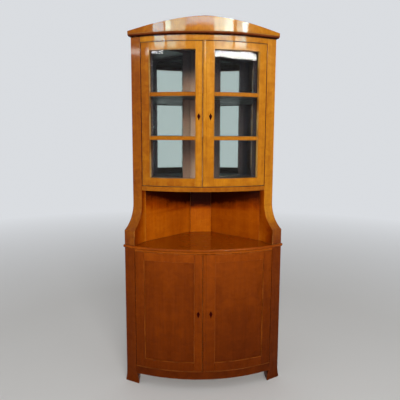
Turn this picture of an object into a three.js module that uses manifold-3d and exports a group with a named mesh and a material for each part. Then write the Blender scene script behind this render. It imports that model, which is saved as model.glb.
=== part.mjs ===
// Bow-front corner display cabinet in two cases, in millimetres with +Z up.
// The front looks along -Y. The two walls of the room's corner run at 45 degrees behind it, so that a line
// along a wall has a constant |x| + y. Depths are measured from the foremost point of the lower doors, and
// the whole cabinet then stands with the middle of its width and depth on the origin.

import * as THREE from 'three';
import Module from 'manifold-3d';
import { mergeVertices } from 'three/addons/utils/BufferGeometryUtils.js';

const wasm = await Module();
wasm.setup();

// Plan of the cabinet
const lowerFrontRadius = 837.5;
const lowerOpeningHalf = 382.5;
const openingSetIn = 39.8;
const postFaceWidth = 72;
const postFaceAngle = THREE.MathUtils.degToRad(37);
const frontSetback = 80;
const sideSetback = 66;
const postTaper = 16.5;
const cheekTaper = 17.7;
const backPanelThickness = 20;
const backPanelInset = 11;
const backStripHalf = 65;
const backStripProud = 15;
const backStripDepth = 40;

// Heights, stacked from the floor up
const footHeight = 60;
const plinthRailHeight = 46;
const lowerDoorHeight = 665;
const headRailHeight = 10;
const counterThickness = 17;
const cheekBlockHeight = 80;
const sweepHeight = 150;
const nicheHeight = 298;
const hutchFloorThickness = 26;
const upperDoorHeight = 762;
const friezeHeight = 28;
const corniceHeight = 15;
const fasciaHeight = 15.5;
const pedimentRise = 59.5;

// Play between the pieces
const doorGap = 2;
const joint = 0.3;

// Feet
const footSpread = 20;
const footFlare = 9;

// Boards inside the cases
const boardThickness = 18;
const shelfThickness = 12;
const shelfSetback = 16;
const lowerShelfShare = 0.5;
const railDepth = 30;

// Doors
const doorThickness = 22;
const meetingOffset = 12;
const beadWidth = 21;
const beadProud = 6;
const lowerHingeStileWidth = 56;
const lowerPanelEdge = 57;
const lowerTopRailWidth = 46;
const lowerBottomRailWidth = 50;
const doorPanelThickness = 8;
const doorPanelSetback = 6;
const upperHingeStileWidth = 50;
const upperGlassEdge = 51;
const upperTopRailWidth = 42;
const upperBottomRailWidth = 46;
const barWidth = 22;
const barDepth = 14;
const barHeightShares = [0.319, 0.662];
const glassThickness = 3;
const glassBehindBar = 2;

// Pivot pins under and over the heels of the doors
const pinRadius = 4;
const pinReachShare = 0.8;
const pinSeat = 14;
const pinPlay = 0.4;

// Bolts
const lockBoltLength = 26;
const lockBoltHeight = 26;
const lockBoltThickness = 6;
const lockBoltThrow = 9;
const lockBoltRise = 24;
const edgeBoltWidth = 8;
const edgeBoltLength = 90;
const edgeBoltKnobRadius = 4;
const edgeBoltKnobLength = 7;

// Keyhole escutcheons
const kiteHalfWidth = 9;
const kiteUpper = 17;
const kiteLower = 23;
const kiteThickness = 1.6;
const keyholeRadius = 2.6;
const keyholeSlotWidth = 2.4;
const keyholeSlotLength = 9;
const keyholeDepth = 12;
const lowerKeyholeHeight = 332;
const upperKeyholeHeight = 376;

// Mouldings of the counter and the cornice
const trimOverhang = 2.8;
const counterOverhang = 8;
const counterEdgeShares = [0.25, 0.75, 1, 0.85, 0.5];
const corniceOverhang = 20;
const corniceFilletShare = 0.1;
const corniceRoundRiseShare = 0.6;
const corniceRoundOutShare = 0.8;
const pedimentThickness = 24;
const pedimentCurveShare = 1.45;

// Mirrors on the back panels of the glazed case
const mirrorThickness = 4;
const mirrorMiddleBorder = 42;
const mirrorSideBorder = 25;
const mirrorEndBorder = 8;

// How finely the round stretches are drawn
const arcStep = THREE.MathUtils.degToRad(2.25);
const diskSegments = 160;
const pinSegments = 16;
const halfRoundSegments = 8;
const sweepSteps = 10;
const footSteps = 6;
const roundSteps = 6;
const gableSteps = 32;

// A point on the front of radius r at the angle phi from the middle, and the angle of a point beside it
const arcCentreY = lowerFrontRadius;
const onArc = (r, phi) => new THREE.Vector2(r * Math.sin(phi), arcCentreY - r * Math.cos(phi));
const angleAt = (r, x) => Math.asin(x / r);
const mirrored = (points) => points.map((p) => new THREE.Vector2(-p.x, p.y)).reverse();

function arcPoints(r, from, to) {
  const steps = 2 * Math.max(1, Math.ceil(Math.abs(to - from) / (2 * arcStep)));
  return Array.from({ length: steps + 1 }, (_, i) => onArc(r, from + ((to - from) * i) / steps));
}

// The corners of the two fronts: where the door opening ends and where the canted face meets the wall side
const upperFrontRadius = lowerFrontRadius - frontSetback;
const upperOpeningHalf = lowerOpeningHalf - openingSetIn;
const outwardAlongWall = new THREE.Vector2(1, -1).normalize();
const postFace = new THREE.Vector2(Math.cos(postFaceAngle), Math.sin(postFaceAngle));
const lowerOpening = onArc(lowerFrontRadius, angleAt(lowerFrontRadius, lowerOpeningHalf));
const upperOpening = onArc(upperFrontRadius, angleAt(upperFrontRadius, upperOpeningHalf));
const lowerCorner = lowerOpening.clone().addScaledVector(postFace, postFaceWidth);
const upperCorner = lowerCorner.clone().addScaledVector(outwardAlongWall, -sideSetback);

// Lines along the walls, each given by its |x| + y, and the depth of the back strip
const bodyLine = lowerCorner.x + lowerCorner.y;
const panelOuterLine = bodyLine - Math.SQRT2 * backPanelInset;
const panelInnerLine = panelOuterLine - Math.SQRT2 * backPanelThickness;
const trimLine = bodyLine + Math.SQRT2 * trimOverhang;
const onInnerLine = (x) => new THREE.Vector2(x, panelInnerLine - x);
const backStripFront = panelInnerLine - backStripHalf - backStripProud;
const backY = backStripFront + backStripDepth;

// Levels
const plinthTop = footHeight + plinthRailHeight;
const lowerDoorBottom = plinthTop + doorGap;
const lowerDoorTop = lowerDoorBottom + lowerDoorHeight;
const headRailBottom = lowerDoorTop + doorGap;
const counterBottom = headRailBottom + headRailHeight;
const counterTop = counterBottom + counterThickness;
const cheekBlockTop = counterTop + cheekBlockHeight;
const sweepTop = cheekBlockTop + sweepHeight;
const hutchFloorBottom = counterTop + nicheHeight;
const hutchFloorTop = hutchFloorBottom + hutchFloorThickness;
const upperDoorBottom = hutchFloorTop + doorGap;
const upperDoorTop = upperDoorBottom + upperDoorHeight;
const friezeBottom = upperDoorTop + doorGap;
const friezeTop = friezeBottom + friezeHeight;
const corniceTop = friezeTop + corniceHeight;
const tipTop = corniceTop + fasciaHeight;
const apexTop = tipTop + pedimentRise;

const pinReach = doorGap + pinReachShare * headRailHeight;
const edgeBoltThrow = pinReachShare * headRailHeight;

// What the two fronts differ in
const lower = {
  radius: lowerFrontRadius,
  opening: lowerOpening,
  corner: lowerCorner,
  rear: onInnerLine(lowerOpeningHalf - postTaper),
  doorBottom: lowerDoorBottom,
  doorTop: lowerDoorTop,
  hingeStileWidth: lowerHingeStileWidth,
  innerEdge: lowerPanelEdge,
  topRailWidth: lowerTopRailWidth,
  bottomRailWidth: lowerBottomRailWidth,
  keyholeZ: lowerDoorBottom + lowerKeyholeHeight,
};

const upper = {
  radius: upperFrontRadius,
  opening: upperOpening,
  corner: upperCorner,
  rear: onInnerLine(upperOpeningHalf - cheekTaper),
  doorBottom: upperDoorBottom,
  doorTop: upperDoorTop,
  hingeStileWidth: upperHingeStileWidth,
  innerEdge: upperGlassEdge,
  topRailWidth: upperTopRailWidth,
  bottomRailWidth: upperBottomRailWidth,
  keyholeZ: upperDoorBottom + upperKeyholeHeight,
};

// Materials
const finish = (color, roughness, metalness = 0) => () =>
  new THREE.MeshStandardMaterial({ color, roughness, metalness });
const amberWood = finish(0xc98a35, 0.3);
const redWood = finish(0x7a3a14, 0.3);
const plainWood = finish(0x9a6432, 0.6);
const ebonised = finish(0x2a0f0a, 0.35);
const steel = finish(0x8d8f92, 0.4, 1);
const brass = finish(0xb08d4a, 0.35, 1);
const glass = () =>
  new THREE.MeshStandardMaterial({ color: 0xdfe8e6, roughness: 0.05, transparent: true, opacity: 0.3 });
const mirror = finish(0xc8d0d0, 0.05, 1);

// Closed solids
function prism(points, bottom, top) {
  const geometry = new THREE.ExtrudeGeometry(new THREE.Shape(points), {
    depth: top - bottom,
    bevelEnabled: false,
  });
  return geometry.translate(0, 0, bottom);
}

function disk(radius, bottom, top) {
  const height = top - bottom;
  const geometry = new THREE.CylinderGeometry(radius, radius, height, diskSegments);
  return geometry.rotateX(Math.PI / 2).translate(0, arcCentreY, bottom + height / 2);
}

function pin(place, radius, bottom, top) {
  const height = top - bottom;
  const geometry = new THREE.CylinderGeometry(radius, radius, height, pinSegments);
  return geometry.rotateX(Math.PI / 2).translate(place.x, place.y, bottom + height / 2);
}

// A skin over rings of points that all follow one contour, closed at both ends
function loft(contour, rings) {
  if (THREE.ShapeUtils.isClockWise(contour)) {
    return loft([...contour].reverse(), rings.map((ring) => [...ring].reverse()));
  }
  const count = contour.length;
  const position = rings.flat().flatMap((p) => [p.x, p.y, p.z]);
  const index = [];
  const caps = THREE.ShapeUtils.triangulateShape(contour, []);
  const last = (rings.length - 1) * count;
  for (const [a, b, c] of caps) {
    index.push(c, b, a);
    index.push(last + a, last + b, last + c);
  }
  for (let ring = 0; ring < rings.length - 1; ring++) {
    for (let i = 0; i < count; i++) {
      const a = ring * count + i;
      const b = ring * count + ((i + 1) % count);
      index.push(a, b, b + count);
      index.push(a, b + count, a + count);
    }
  }
  const geometry = new THREE.BufferGeometry();
  geometry.setAttribute('position', new THREE.Float32BufferAttribute(position, 3));
  geometry.setIndex(signedVolume(position, index) < 0 ? index.reverse() : index);
  return geometry;
}

function signedVolume(position, index) {
  const corner = (i) => new THREE.Vector3().fromArray(position, 3 * i);
  let sum = 0;
  for (let i = 0; i < index.length; i += 3) {
    sum += corner(index[i]).dot(corner(index[i + 1]).cross(corner(index[i + 2])));
  }
  return sum;
}

// A plan that changes with height: each level has its height and its plan
function loftUp(levels) {
  const rings = levels.map(({ z, plan }) => plan.map((p) => new THREE.Vector3(p.x, p.y, z)));
  return loft(levels[0].plan, rings);
}

// A bent bar: a rectangle in radius and height carried round the front from one angle to the other
function bentBar(side, outer, inner, from, to, bottom, top) {
  const contour = [
    new THREE.Vector2(inner, bottom),
    new THREE.Vector2(outer, bottom),
    new THREE.Vector2(outer, top),
    new THREE.Vector2(inner, top),
  ];
  const steps = Math.max(1, Math.ceil((to - from) / arcStep));
  const rings = Array.from({ length: steps + 1 }, (_, i) => {
    const phi = side * (from + ((to - from) * i) / steps);
    return contour.map(({ x: r, y: z }) => new THREE.Vector3(onArc(r, phi).x, onArc(r, phi).y, z));
  });
  return loft(contour, rings);
}

// Joining and cutting
function solid(geometry) {
  const bare = geometry.clone();
  bare.deleteAttribute('normal');
  bare.deleteAttribute('uv');
  const merged = mergeVertices(bare);
  const vertProperties = new Float32Array(merged.getAttribute('position').array);
  const triVerts = new Uint32Array(merged.index.array);
  return new wasm.Manifold(new wasm.Mesh({ numProp: 3, vertProperties, triVerts }));
}

function geometryOf(body) {
  const { vertProperties, triVerts } = body.getMesh();
  const geometry = new THREE.BufferGeometry();
  geometry.setAttribute('position', new THREE.Float32BufferAttribute(vertProperties, 3));
  geometry.setIndex(new THREE.BufferAttribute(new Uint32Array(triVerts), 1));
  return geometry;
}

// Puts a piece made in the cabinet's own frame into a group, wherever the group stands
function add(group, name, material, made) {
  const geometry = made.isBufferGeometry ? made : geometryOf(made);
  const { x, y, z } = group.position;
  const mesh = new THREE.Mesh(geometry.translate(-x, -y, -z), material());
  mesh.name = name;
  mesh.geometry.computeVertexNormals();
  group.add(mesh);
}

// Plans
// The room between the two side pieces, the back panels and the back strip, less some play
function innerPlan(front, sidePlay, backPlay) {
  const slide = new THREE.Vector2(-2 * sidePlay, 0);
  const rear = front.rear.clone().add(slide);
  const run = front.opening.clone().sub(front.rear);
  const foremost = arcCentreY - front.radius - railDepth;
  const ahead = rear.clone().addScaledVector(run, (foremost - rear.y) / run.y);
  const stripX = backStripHalf + joint;
  const line = panelInnerLine - Math.SQRT2 * backPlay;
  const rearInside = new THREE.Vector2(rear.x, Math.min(rear.y, line - rear.x));
  const besideStrip = new THREE.Vector2(stripX, line - stripX);
  const beforeStrip = new THREE.Vector2(stripX, Math.min(backStripFront, besideStrip.y) - joint);
  const half = [ahead, rearInside, besideStrip, beforeStrip];
  return [...half, ...mirrored(half)];
}

// The outline of a case with its mouldings standing out by an offset, out to a line along the walls
function outline(front, offset, sideLine) {
  const half = angleAt(front.radius, front.opening.x);
  const along = front.corner.clone().sub(front.opening).normalize();
  const facing = new THREE.Vector2(along.y, -along.x);
  const tip = front.corner.clone().addScaledVector(facing, offset);
  tip.addScaledVector(along, (sideLine - tip.x - tip.y) / (along.x + along.y));
  const behind = new THREE.Vector2(sideLine - backY, backY);
  const side = [tip, behind];
  return [...arcPoints(front.radius + offset, -half, half), ...side, ...mirrored(side)];
}

// A board of the case: the inner plan cut to a round front edge, and hollow inside a second radius if given
function board(front, outer, inner, bottom, top, backPlay = joint) {
  const plan = solid(prism(innerPlan(front, joint, backPlay), bottom, top));
  const trimmed = plan.intersect(solid(disk(outer, bottom, top)));
  if (inner === 0) {
    return trimmed;
  }
  return trimmed.subtract(solid(disk(inner, bottom - railDepth, top + railDepth)));
}

// Side pieces: a canted front from the opening to the corner, then back to the panel's plane
function sidePlan(side, opening, corner, rear) {
  const step = (bodyLine - panelInnerLine) / 2;
  const rearAtWall = rear.clone().addScalar(step);
  return [opening, corner, rearAtWall, rear].map((p) => new THREE.Vector2(side * p.x, p.y));
}

// The post runs down as a foot, with a bracket under the rail on one side and a flare on the other
function post(side) {
  const level = (z) => {
    const share = Math.min(1, z / footHeight);
    const opening = lower.opening.clone().addScaledVector(postFace, -footSpread * (1 - share ** 3));
    const corner = lower.corner.clone().addScaledVector(outwardAlongWall, footFlare * (1 - share) ** 2);
    return { z, plan: sidePlan(side, opening, corner, lower.rear) };
  };
  const foot = Array.from({ length: footSteps + 1 }, (_, i) => level((footHeight * i) / footSteps));
  return loftUp([...foot, level(counterBottom)]);
}

// The cheek stands on the counter as a block as wide as the post, then sweeps back in a hollow curve
function cheek(side) {
  const sweepRadius = (frontSetback ** 2 + sweepHeight ** 2) / (2 * frontSetback);
  const level = (z) => {
    const drop = THREE.MathUtils.clamp(sweepTop - z, 0, sweepHeight);
    const share = (sweepRadius - Math.sqrt(sweepRadius ** 2 - drop ** 2)) / frontSetback;
    const opening = upper.opening.clone().lerp(lower.opening, share);
    const corner = upper.corner.clone().lerp(lower.corner, share);
    return { z, plan: sidePlan(side, opening, corner, upper.rear) };
  };
  const sweep = Array.from({ length: sweepSteps + 1 }, (_, i) =>
    level(cheekBlockTop + (sweepHeight * i) / sweepSteps),
  );
  return loftUp([level(counterTop), ...sweep, level(friezeTop)]);
}

function backPanel(side, front, bottom, top) {
  const start = front.rear.clone().addScaledVector(outwardAlongWall, -joint);
  const startOutside = start.clone().addScalar((panelOuterLine - panelInnerLine) / 2);
  const endX = backStripHalf + joint;
  const plan = [
    start,
    startOutside,
    new THREE.Vector2(endX, panelOuterLine - endX),
    new THREE.Vector2(endX, panelInnerLine - endX),
  ];
  return prism(plan.map((p) => new THREE.Vector2(side * p.x, p.y)), bottom, top);
}

function backStrip(bottom, top) {
  const geometry = new THREE.BoxGeometry(2 * backStripHalf, backStripDepth, top - bottom);
  return geometry.translate(0, backStripFront + backStripDepth / 2, (bottom + top) / 2);
}

// Door layout, in angles from the middle towards the hinge side
function doorLayout(front, side) {
  const { radius } = front;
  const middleRadius = radius - doorThickness / 2;
  const postAngle = angleAt(radius, front.opening.x);
  const pivotAngle = postAngle - (doorGap + doorThickness / 2) / middleRadius;
  const meetingAngle = angleAt(radius, -side * meetingOffset + doorGap / 2);
  return {
    side,
    radius,
    middleRadius,
    pivotAngle,
    meetingAngle,
    hingeEdge: pivotAngle - (front.hingeStileWidth - doorThickness / 2) / radius,
    faceEdge: meetingAngle + (side > 0 ? beadWidth / radius : 0),
    innerEdge: angleAt(radius, front.innerEdge),
    pivot: onArc(middleRadius, side * pivotAngle),
    bolt: (meetingAngle + angleAt(radius, front.innerEdge)) / 2,
  };
}

const sideWord = (side) => (side < 0 ? 'left' : 'right');

// The hinge stile has a half-round heel about its pivot, a pin on top and a socket for the pin below
function hingeStile(front, layout) {
  const { side, radius, middleRadius, pivotAngle, hingeEdge } = layout;
  const centre = onArc(middleRadius, pivotAngle);
  const heel = Array.from({ length: halfRoundSegments + 1 }, (_, i) => {
    const turn = pivotAngle - Math.PI / 2 + (Math.PI * i) / halfRoundSegments;
    const reach = new THREE.Vector2(Math.cos(turn), Math.sin(turn));
    return centre.clone().addScaledVector(reach, doorThickness / 2);
  });
  const outer = arcPoints(radius, hingeEdge, pivotAngle).slice(0, -1);
  const inner = arcPoints(radius - doorThickness, pivotAngle, hingeEdge).slice(1);
  const plan = [...outer, ...heel, ...inner].map((p) => new THREE.Vector2(side * p.x, p.y));
  const stile = solid(prism(plan, front.doorBottom, front.doorTop));
  const topPin = solid(pin(layout.pivot, pinRadius, front.doorTop - pinSeat, front.doorTop + pinReach));
  const socketTop = front.doorBottom + pinReach + pinPlay;
  const socket = solid(pin(layout.pivot, pinRadius + pinPlay, front.doorBottom - pinReach, socketTop));
  return stile.add(topPin).subtract(socket);
}

// A box that lies along the front at an angle, measured out from the middle, back from the front and up
function frontBox(layout, angle, width, back, depth, bottom, height) {
  const geometry = new THREE.BoxGeometry(width, depth, height);
  geometry.rotateZ(layout.side * angle);
  const place = onArc(layout.radius - back - depth / 2, layout.side * angle);
  return geometry.translate(place.x, place.y, bottom + height / 2);
}

// The meeting stile, with a rounded bead on the right door, a keyhole and the seats of the bolts
function meetingStile(front, layout, hasBead) {
  const { side, radius, meetingAngle, faceEdge, innerEdge } = layout;
  const bead = [];
  if (hasBead) {
    for (let i = 0; i < halfRoundSegments; i++) {
      const share = i / halfRoundSegments;
      const proud = beadProud * Math.sin(Math.PI * share);
      bead.push(onArc(radius + proud, meetingAngle + (faceEdge - meetingAngle) * share));
    }
  }
  const outer = arcPoints(radius, faceEdge, innerEdge);
  const inner = arcPoints(radius - doorThickness, innerEdge, meetingAngle);
  const plan = [...bead, ...outer, ...inner].map((p) => new THREE.Vector2(side * p.x, p.y));
  let stile = solid(prism(plan, front.doorBottom, front.doorTop));
  stile = stile.subtract(solid(keyhole(front, layout)));
  stile = stile.subtract(solid(lockBoltSeat(front, layout, hasBead)));
  return hasBead ? stile : stile.subtract(solid(edgeBoltSeat(front, layout)));
}

// The lock bolt of the right door, and its seat in each of the two meeting stiles
const lockBoltZ = (front) => front.keyholeZ + lockBoltRise;
const lockBoltBack = (doorThickness - lockBoltThickness) / 2;

function lockBolt(front, layout) {
  const angle = layout.meetingAngle + (joint + lockBoltLength / 2) / layout.middleRadius;
  const bottom = lockBoltZ(front) - lockBoltHeight / 2;
  return frontBox(layout, angle, lockBoltLength, lockBoltBack, lockBoltThickness, bottom, lockBoltHeight);
}

function lockBoltSeat(front, layout, holdsBolt) {
  const depth = holdsBolt ? lockBoltLength + 2 * joint : lockBoltThrow + doorGap;
  const reach = doorGap;
  const angle = layout.meetingAngle + (depth - reach) / 2 / layout.middleRadius;
  const thickness = lockBoltThickness + 4 * joint;
  const height = lockBoltHeight + 2 * joint;
  const bottom = lockBoltZ(front) - height / 2;
  return frontBox(layout, angle, depth + reach, (doorThickness - thickness) / 2, thickness, bottom, height);
}

// The edge bolt of the left door lies in a groove in the back of its meeting stile and slides up
const edgeBoltBack = doorThickness - edgeBoltWidth;

function edgeBolt(front, layout) {
  const top = front.doorTop - joint;
  const bottom = top - edgeBoltLength;
  const width = edgeBoltWidth;
  const rod = frontBox(layout, layout.bolt, width, edgeBoltBack, width, bottom, edgeBoltLength);
  const knob = new THREE.CylinderGeometry(
    edgeBoltKnobRadius - joint,
    edgeBoltKnobRadius - joint,
    edgeBoltKnobLength + edgeBoltWidth / 2,
    pinSegments,
  );
  const reach = doorThickness - edgeBoltWidth / 2 + (edgeBoltKnobLength + edgeBoltWidth / 2) / 2;
  const place = onArc(layout.radius - reach, layout.side * layout.bolt);
  knob.rotateZ(layout.side * layout.bolt).translate(place.x, place.y, bottom + edgeBoltWidth);
  return solid(rod).add(solid(knob));
}

function edgeBoltSeat(front, layout) {
  const width = edgeBoltWidth + 2 * joint;
  const bottom = front.doorTop - edgeBoltLength - 2 * joint;
  const height = edgeBoltLength + pinReach;
  const back = edgeBoltBack - joint;
  return frontBox(layout, layout.bolt, width, back, doorThickness, bottom, height);
}

function edgeBoltHole(front, layout) {
  const width = edgeBoltWidth + 4 * joint;
  const height = doorGap + edgeBoltThrow;
  return frontBox(layout, layout.bolt, width, edgeBoltBack - 2 * joint, width, front.doorTop, height);
}

// Escutcheons: a kite with a keyhole, standing on the stile with its back to it
function keyholePath(growth) {
  const radius = keyholeRadius - growth;
  const slot = keyholeSlotWidth / 2 - growth;
  const start = Math.asin(slot / radius);
  const path = new THREE.Path();
  path.absarc(0, 0, radius, start - Math.PI / 2, (3 * Math.PI) / 2 - start, false);
  path.lineTo(-slot, -keyholeSlotLength);
  path.lineTo(slot, -keyholeSlotLength);
  path.closePath();
  return path;
}

const escutcheonAngle = (layout) => (layout.side * (layout.faceEdge + layout.innerEdge)) / 2;

function escutcheon() {
  const kite = new THREE.Shape();
  kite.moveTo(0, kiteUpper);
  kite.lineTo(-kiteHalfWidth, 0);
  kite.lineTo(0, -kiteLower);
  kite.lineTo(kiteHalfWidth, 0);
  kite.closePath();
  kite.holes.push(keyholePath(0));
  const geometry = new THREE.ExtrudeGeometry(kite, {
    depth: kiteThickness,
    bevelEnabled: false,
    curveSegments: halfRoundSegments,
  });
  return geometry.rotateX(Math.PI / 2);
}

function keyhole(front, layout) {
  const angle = escutcheonAngle(layout);
  const place = onArc(layout.radius - keyholeDepth, angle);
  const shape = new THREE.Shape(keyholePath(joint).getPoints(halfRoundSegments));
  const depth = keyholeDepth + kiteThickness;
  const geometry = new THREE.ExtrudeGeometry(shape, { depth, bevelEnabled: false });
  return geometry.rotateX(Math.PI / 2).rotateZ(angle).translate(place.x, place.y, front.keyholeZ);
}

// A door of either case: frame, filling, escutcheon and bolt, hung on its pivot
function makeDoor(front, side, name) {
  const layout = doorLayout(front, side);
  const { radius, innerEdge, hingeEdge } = layout;
  const group = new THREE.Group();
  group.position.set(layout.pivot.x, layout.pivot.y, 0);
  const wood = front === lower ? redWood : amberWood;
  const play = joint / radius;
  const railTop = front.doorTop - front.topRailWidth;
  const railBottom = front.doorBottom + front.bottomRailWidth;
  const across = (outer, inner, bottom, top) =>
    bentBar(side, outer, inner, innerEdge + play, hingeEdge - play, bottom, top);
  const rail = (bottom, top) => across(radius, radius - doorThickness, bottom, top);

  add(group, `${name}_hinge_stile`, wood, hingeStile(front, layout));
  add(group, `${name}_meeting_stile`, wood, meetingStile(front, layout, side > 0));
  add(group, `${name}_top_rail`, wood, rail(railTop, front.doorTop));
  add(group, `${name}_bottom_rail`, wood, rail(front.doorBottom, railBottom));
  if (front === lower) {
    const face = radius - doorPanelSetback;
    add(group, `${name}_panel`, wood, across(face, face - doorPanelThickness, railBottom, railTop));
  } else {
    const clear = railTop - railBottom;
    barHeightShares.forEach((share, i) => {
      const bottom = railBottom + share * clear - barWidth / 2;
      const word = i === 0 ? 'lower' : 'upper';
      add(group, `${name}_${word}_bar`, wood, across(radius, radius - barDepth, bottom, bottom + barWidth));
    });
    const face = radius - barDepth - glassBehindBar;
    add(group, `${name}_glass`, glass, across(face, face - glassThickness, railBottom, railTop));
  }

  const plate = new THREE.Mesh(escutcheon(), ebonised());
  const plateAngle = escutcheonAngle(layout);
  const platePlace = onArc(radius + joint, plateAngle);
  plate.name = `${name}_escutcheon`;
  plate.position.set(platePlace.x - layout.pivot.x, platePlace.y - layout.pivot.y, front.keyholeZ);
  plate.rotation.z = plateAngle;
  group.add(plate);

  if (side > 0) {
    add(group, `${name}_lock_bolt`, steel, lockBolt(front, layout));
  } else {
    add(group, `${name}_edge_bolt`, brass, edgeBolt(front, layout));
  }
  return group;
}

// Holes for the pins of both doors, from one height to another
function pinHoles(piece, front, bottom, top) {
  let bored = piece;
  for (const side of [-1, 1]) {
    const { pivot } = doorLayout(front, side);
    bored = bored.subtract(solid(pin(pivot, pinRadius + pinPlay, bottom, top)));
  }
  return bored;
}

// What lies under a pair of doors holds the pins that they stand on
const pinSockets = (piece, front, top) => pinHoles(piece, front, top - pinSeat, top + pinSeat);

function pivotPin(front, side, top) {
  const { pivot } = doorLayout(front, side);
  return pin(pivot, pinRadius, top - pinSeat + joint, front.doorBottom + pinReach - joint);
}

// The rail over a pair of doors takes their top pins and the edge bolt of the left door
function headRail(front, bottom, top) {
  const rail = board(front, front.radius, front.radius - railDepth, bottom, top);
  const bored = pinHoles(rail, front, bottom - pinSeat, front.doorTop + pinReach + pinPlay);
  return bored.subtract(solid(edgeBoltHole(front, doorLayout(front, -1))));
}

// Lower case
const cabinet = new THREE.Group();
const foremostY = -counterOverhang;
const hindmostY = Math.max(backY, panelOuterLine - backStripHalf - joint);
cabinet.position.y = -(foremostY + hindmostY) / 2;
const lowerCase = new THREE.Group();
cabinet.add(lowerCase);
const lowerShelfZ = plinthTop + lowerShelfShare * (counterBottom - plinthTop);

for (const side of [-1, 1]) {
  const name = `lower_${sideWord(side)}`;
  add(lowerCase, `${name}_post`, redWood, post(side));
  add(lowerCase, `${name}_back_panel`, plainWood, backPanel(side, lower, footHeight, counterBottom));
  add(lowerCase, `${name}_pivot_pin`, steel, pivotPin(lower, side, plinthTop));
}
add(lowerCase, 'lower_back_strip', plainWood, backStrip(0, counterBottom));
const lowerBoardFront = lower.radius - railDepth - joint;
const bottomBoard = board(lower, lowerBoardFront, 0, plinthTop - boardThickness, plinthTop);
add(lowerCase, 'lower_bottom_board', plainWood, bottomBoard);
const lowerShelfFront = lower.radius - doorThickness - shelfSetback;
const lowerShelf = board(lower, lowerShelfFront, 0, lowerShelfZ, lowerShelfZ + boardThickness);
add(lowerCase, 'lower_shelf', plainWood, lowerShelf);
const plinth = board(lower, lower.radius, lower.radius - railDepth, footHeight, plinthTop);
add(lowerCase, 'plinth_rail', redWood, pinSockets(plinth, lower, plinthTop));
add(lowerCase, 'lower_head_rail', redWood, headRail(lower, headRailBottom, counterBottom));

// A board with a moulded edge: each step of the profile has its height and how far it stands out
function mouldedBoard(front, bottom, profile) {
  const level = ({ rise, out }) => ({ z: bottom + rise, plan: outline(front, out, trimLine) });
  return loftUp(profile.map(level));
}

const counterProfile = counterEdgeShares.map((share, i) => ({
  rise: (counterThickness * i) / (counterEdgeShares.length - 1),
  out: counterOverhang * share,
}));
add(lowerCase, 'counter', redWood, mouldedBoard(lower, counterBottom, counterProfile));

// Upper case
const upperCase = new THREE.Group();
upperCase.position.z = counterTop;
cabinet.add(upperCase);
const glazedBottom = upperDoorBottom + upperBottomRailWidth;
const glazedHeight = upperDoorHeight - upperBottomRailWidth - upperTopRailWidth;

for (const side of [-1, 1]) {
  const name = `upper_${sideWord(side)}`;
  add(upperCase, `${name}_cheek`, amberWood, cheek(side));
  add(upperCase, `${name}_back_panel`, redWood, backPanel(side, upper, counterTop, friezeTop));
  add(upperCase, `${name}_pivot_pin`, steel, pivotPin(upper, side, hutchFloorTop));
}
add(upperCase, 'upper_back_strip', amberWood, backStrip(counterTop, friezeTop));

const floorBoard = board(upper, upper.radius, 0, hutchFloorBottom, hutchFloorTop);
add(upperCase, 'upper_floor', amberWood, pinSockets(floorBoard, upper, hutchFloorTop));
barHeightShares.forEach((share, i) => {
  const bottom = glazedBottom + share * glazedHeight - shelfThickness / 2;
  const front = upper.radius - doorThickness - shelfSetback;
  const shelf = board(upper, front, 0, bottom, bottom + shelfThickness, mirrorThickness + 2 * joint);
  add(upperCase, i === 0 ? 'glazed_case_lower_shelf' : 'glazed_case_upper_shelf', plainWood, shelf);
});
const upperBoardFront = upper.radius - railDepth - joint;
const topBoard = board(upper, upperBoardFront, 0, friezeTop - boardThickness, friezeTop);
add(upperCase, 'upper_top_board', plainWood, topBoard);
add(upperCase, 'frieze_rail', amberWood, headRail(upper, friezeBottom, friezeTop));

// The cornice board has a round moulding along its edge, between two narrow flats
const round = Array.from({ length: roundSteps + 1 }, (_, i) => {
  const turn = (Math.PI / 2) * (i / roundSteps);
  return {
    rise: corniceHeight * (corniceFilletShare + corniceRoundRiseShare * (1 - Math.cos(turn))),
    out: corniceOverhang * (corniceFilletShare + corniceRoundOutShare * Math.sin(turn)),
  };
});
const corniceProfile = [
  { rise: 0, out: round[0].out },
  ...round,
  { rise: corniceHeight, out: corniceOverhang },
];
add(upperCase, 'cornice', amberWood, mouldedBoard(upper, friezeTop, corniceProfile));

// The pediment is a bent board on the front of the cornice, with an arched top edge
function pediment() {
  const outer = outline(upper, corniceOverhang, trimLine);
  const inner = outline(upper, corniceOverhang - pedimentThickness, trimLine + corniceOverhang);
  const tipX = Math.max(...outer.map((p) => p.x));
  const gable = [new THREE.Vector2(-2 * tipX, corniceTop), new THREE.Vector2(2 * tipX, corniceTop)];
  for (let i = 0; i <= gableSteps; i++) {
    const share = 1 - (2 * i) / gableSteps;
    const rise = pedimentRise * (1 - Math.abs(share) ** pedimentCurveShare);
    gable.push(new THREE.Vector2(share * tipX, tipTop + rise));
  }
  const depth = 2 * backY;
  const silhouette = new THREE.ExtrudeGeometry(new THREE.Shape(gable), { depth, bevelEnabled: false });
  silhouette.rotateX(Math.PI / 2).translate(0, backY, 0);
  const band = solid(prism(outer, corniceTop, apexTop + fasciaHeight));
  const behind = solid(prism(inner, corniceTop - fasciaHeight, apexTop + 2 * fasciaHeight));
  return band.subtract(behind).intersect(solid(silhouette));
}
add(upperCase, 'pediment', amberWood, pediment());

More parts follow.
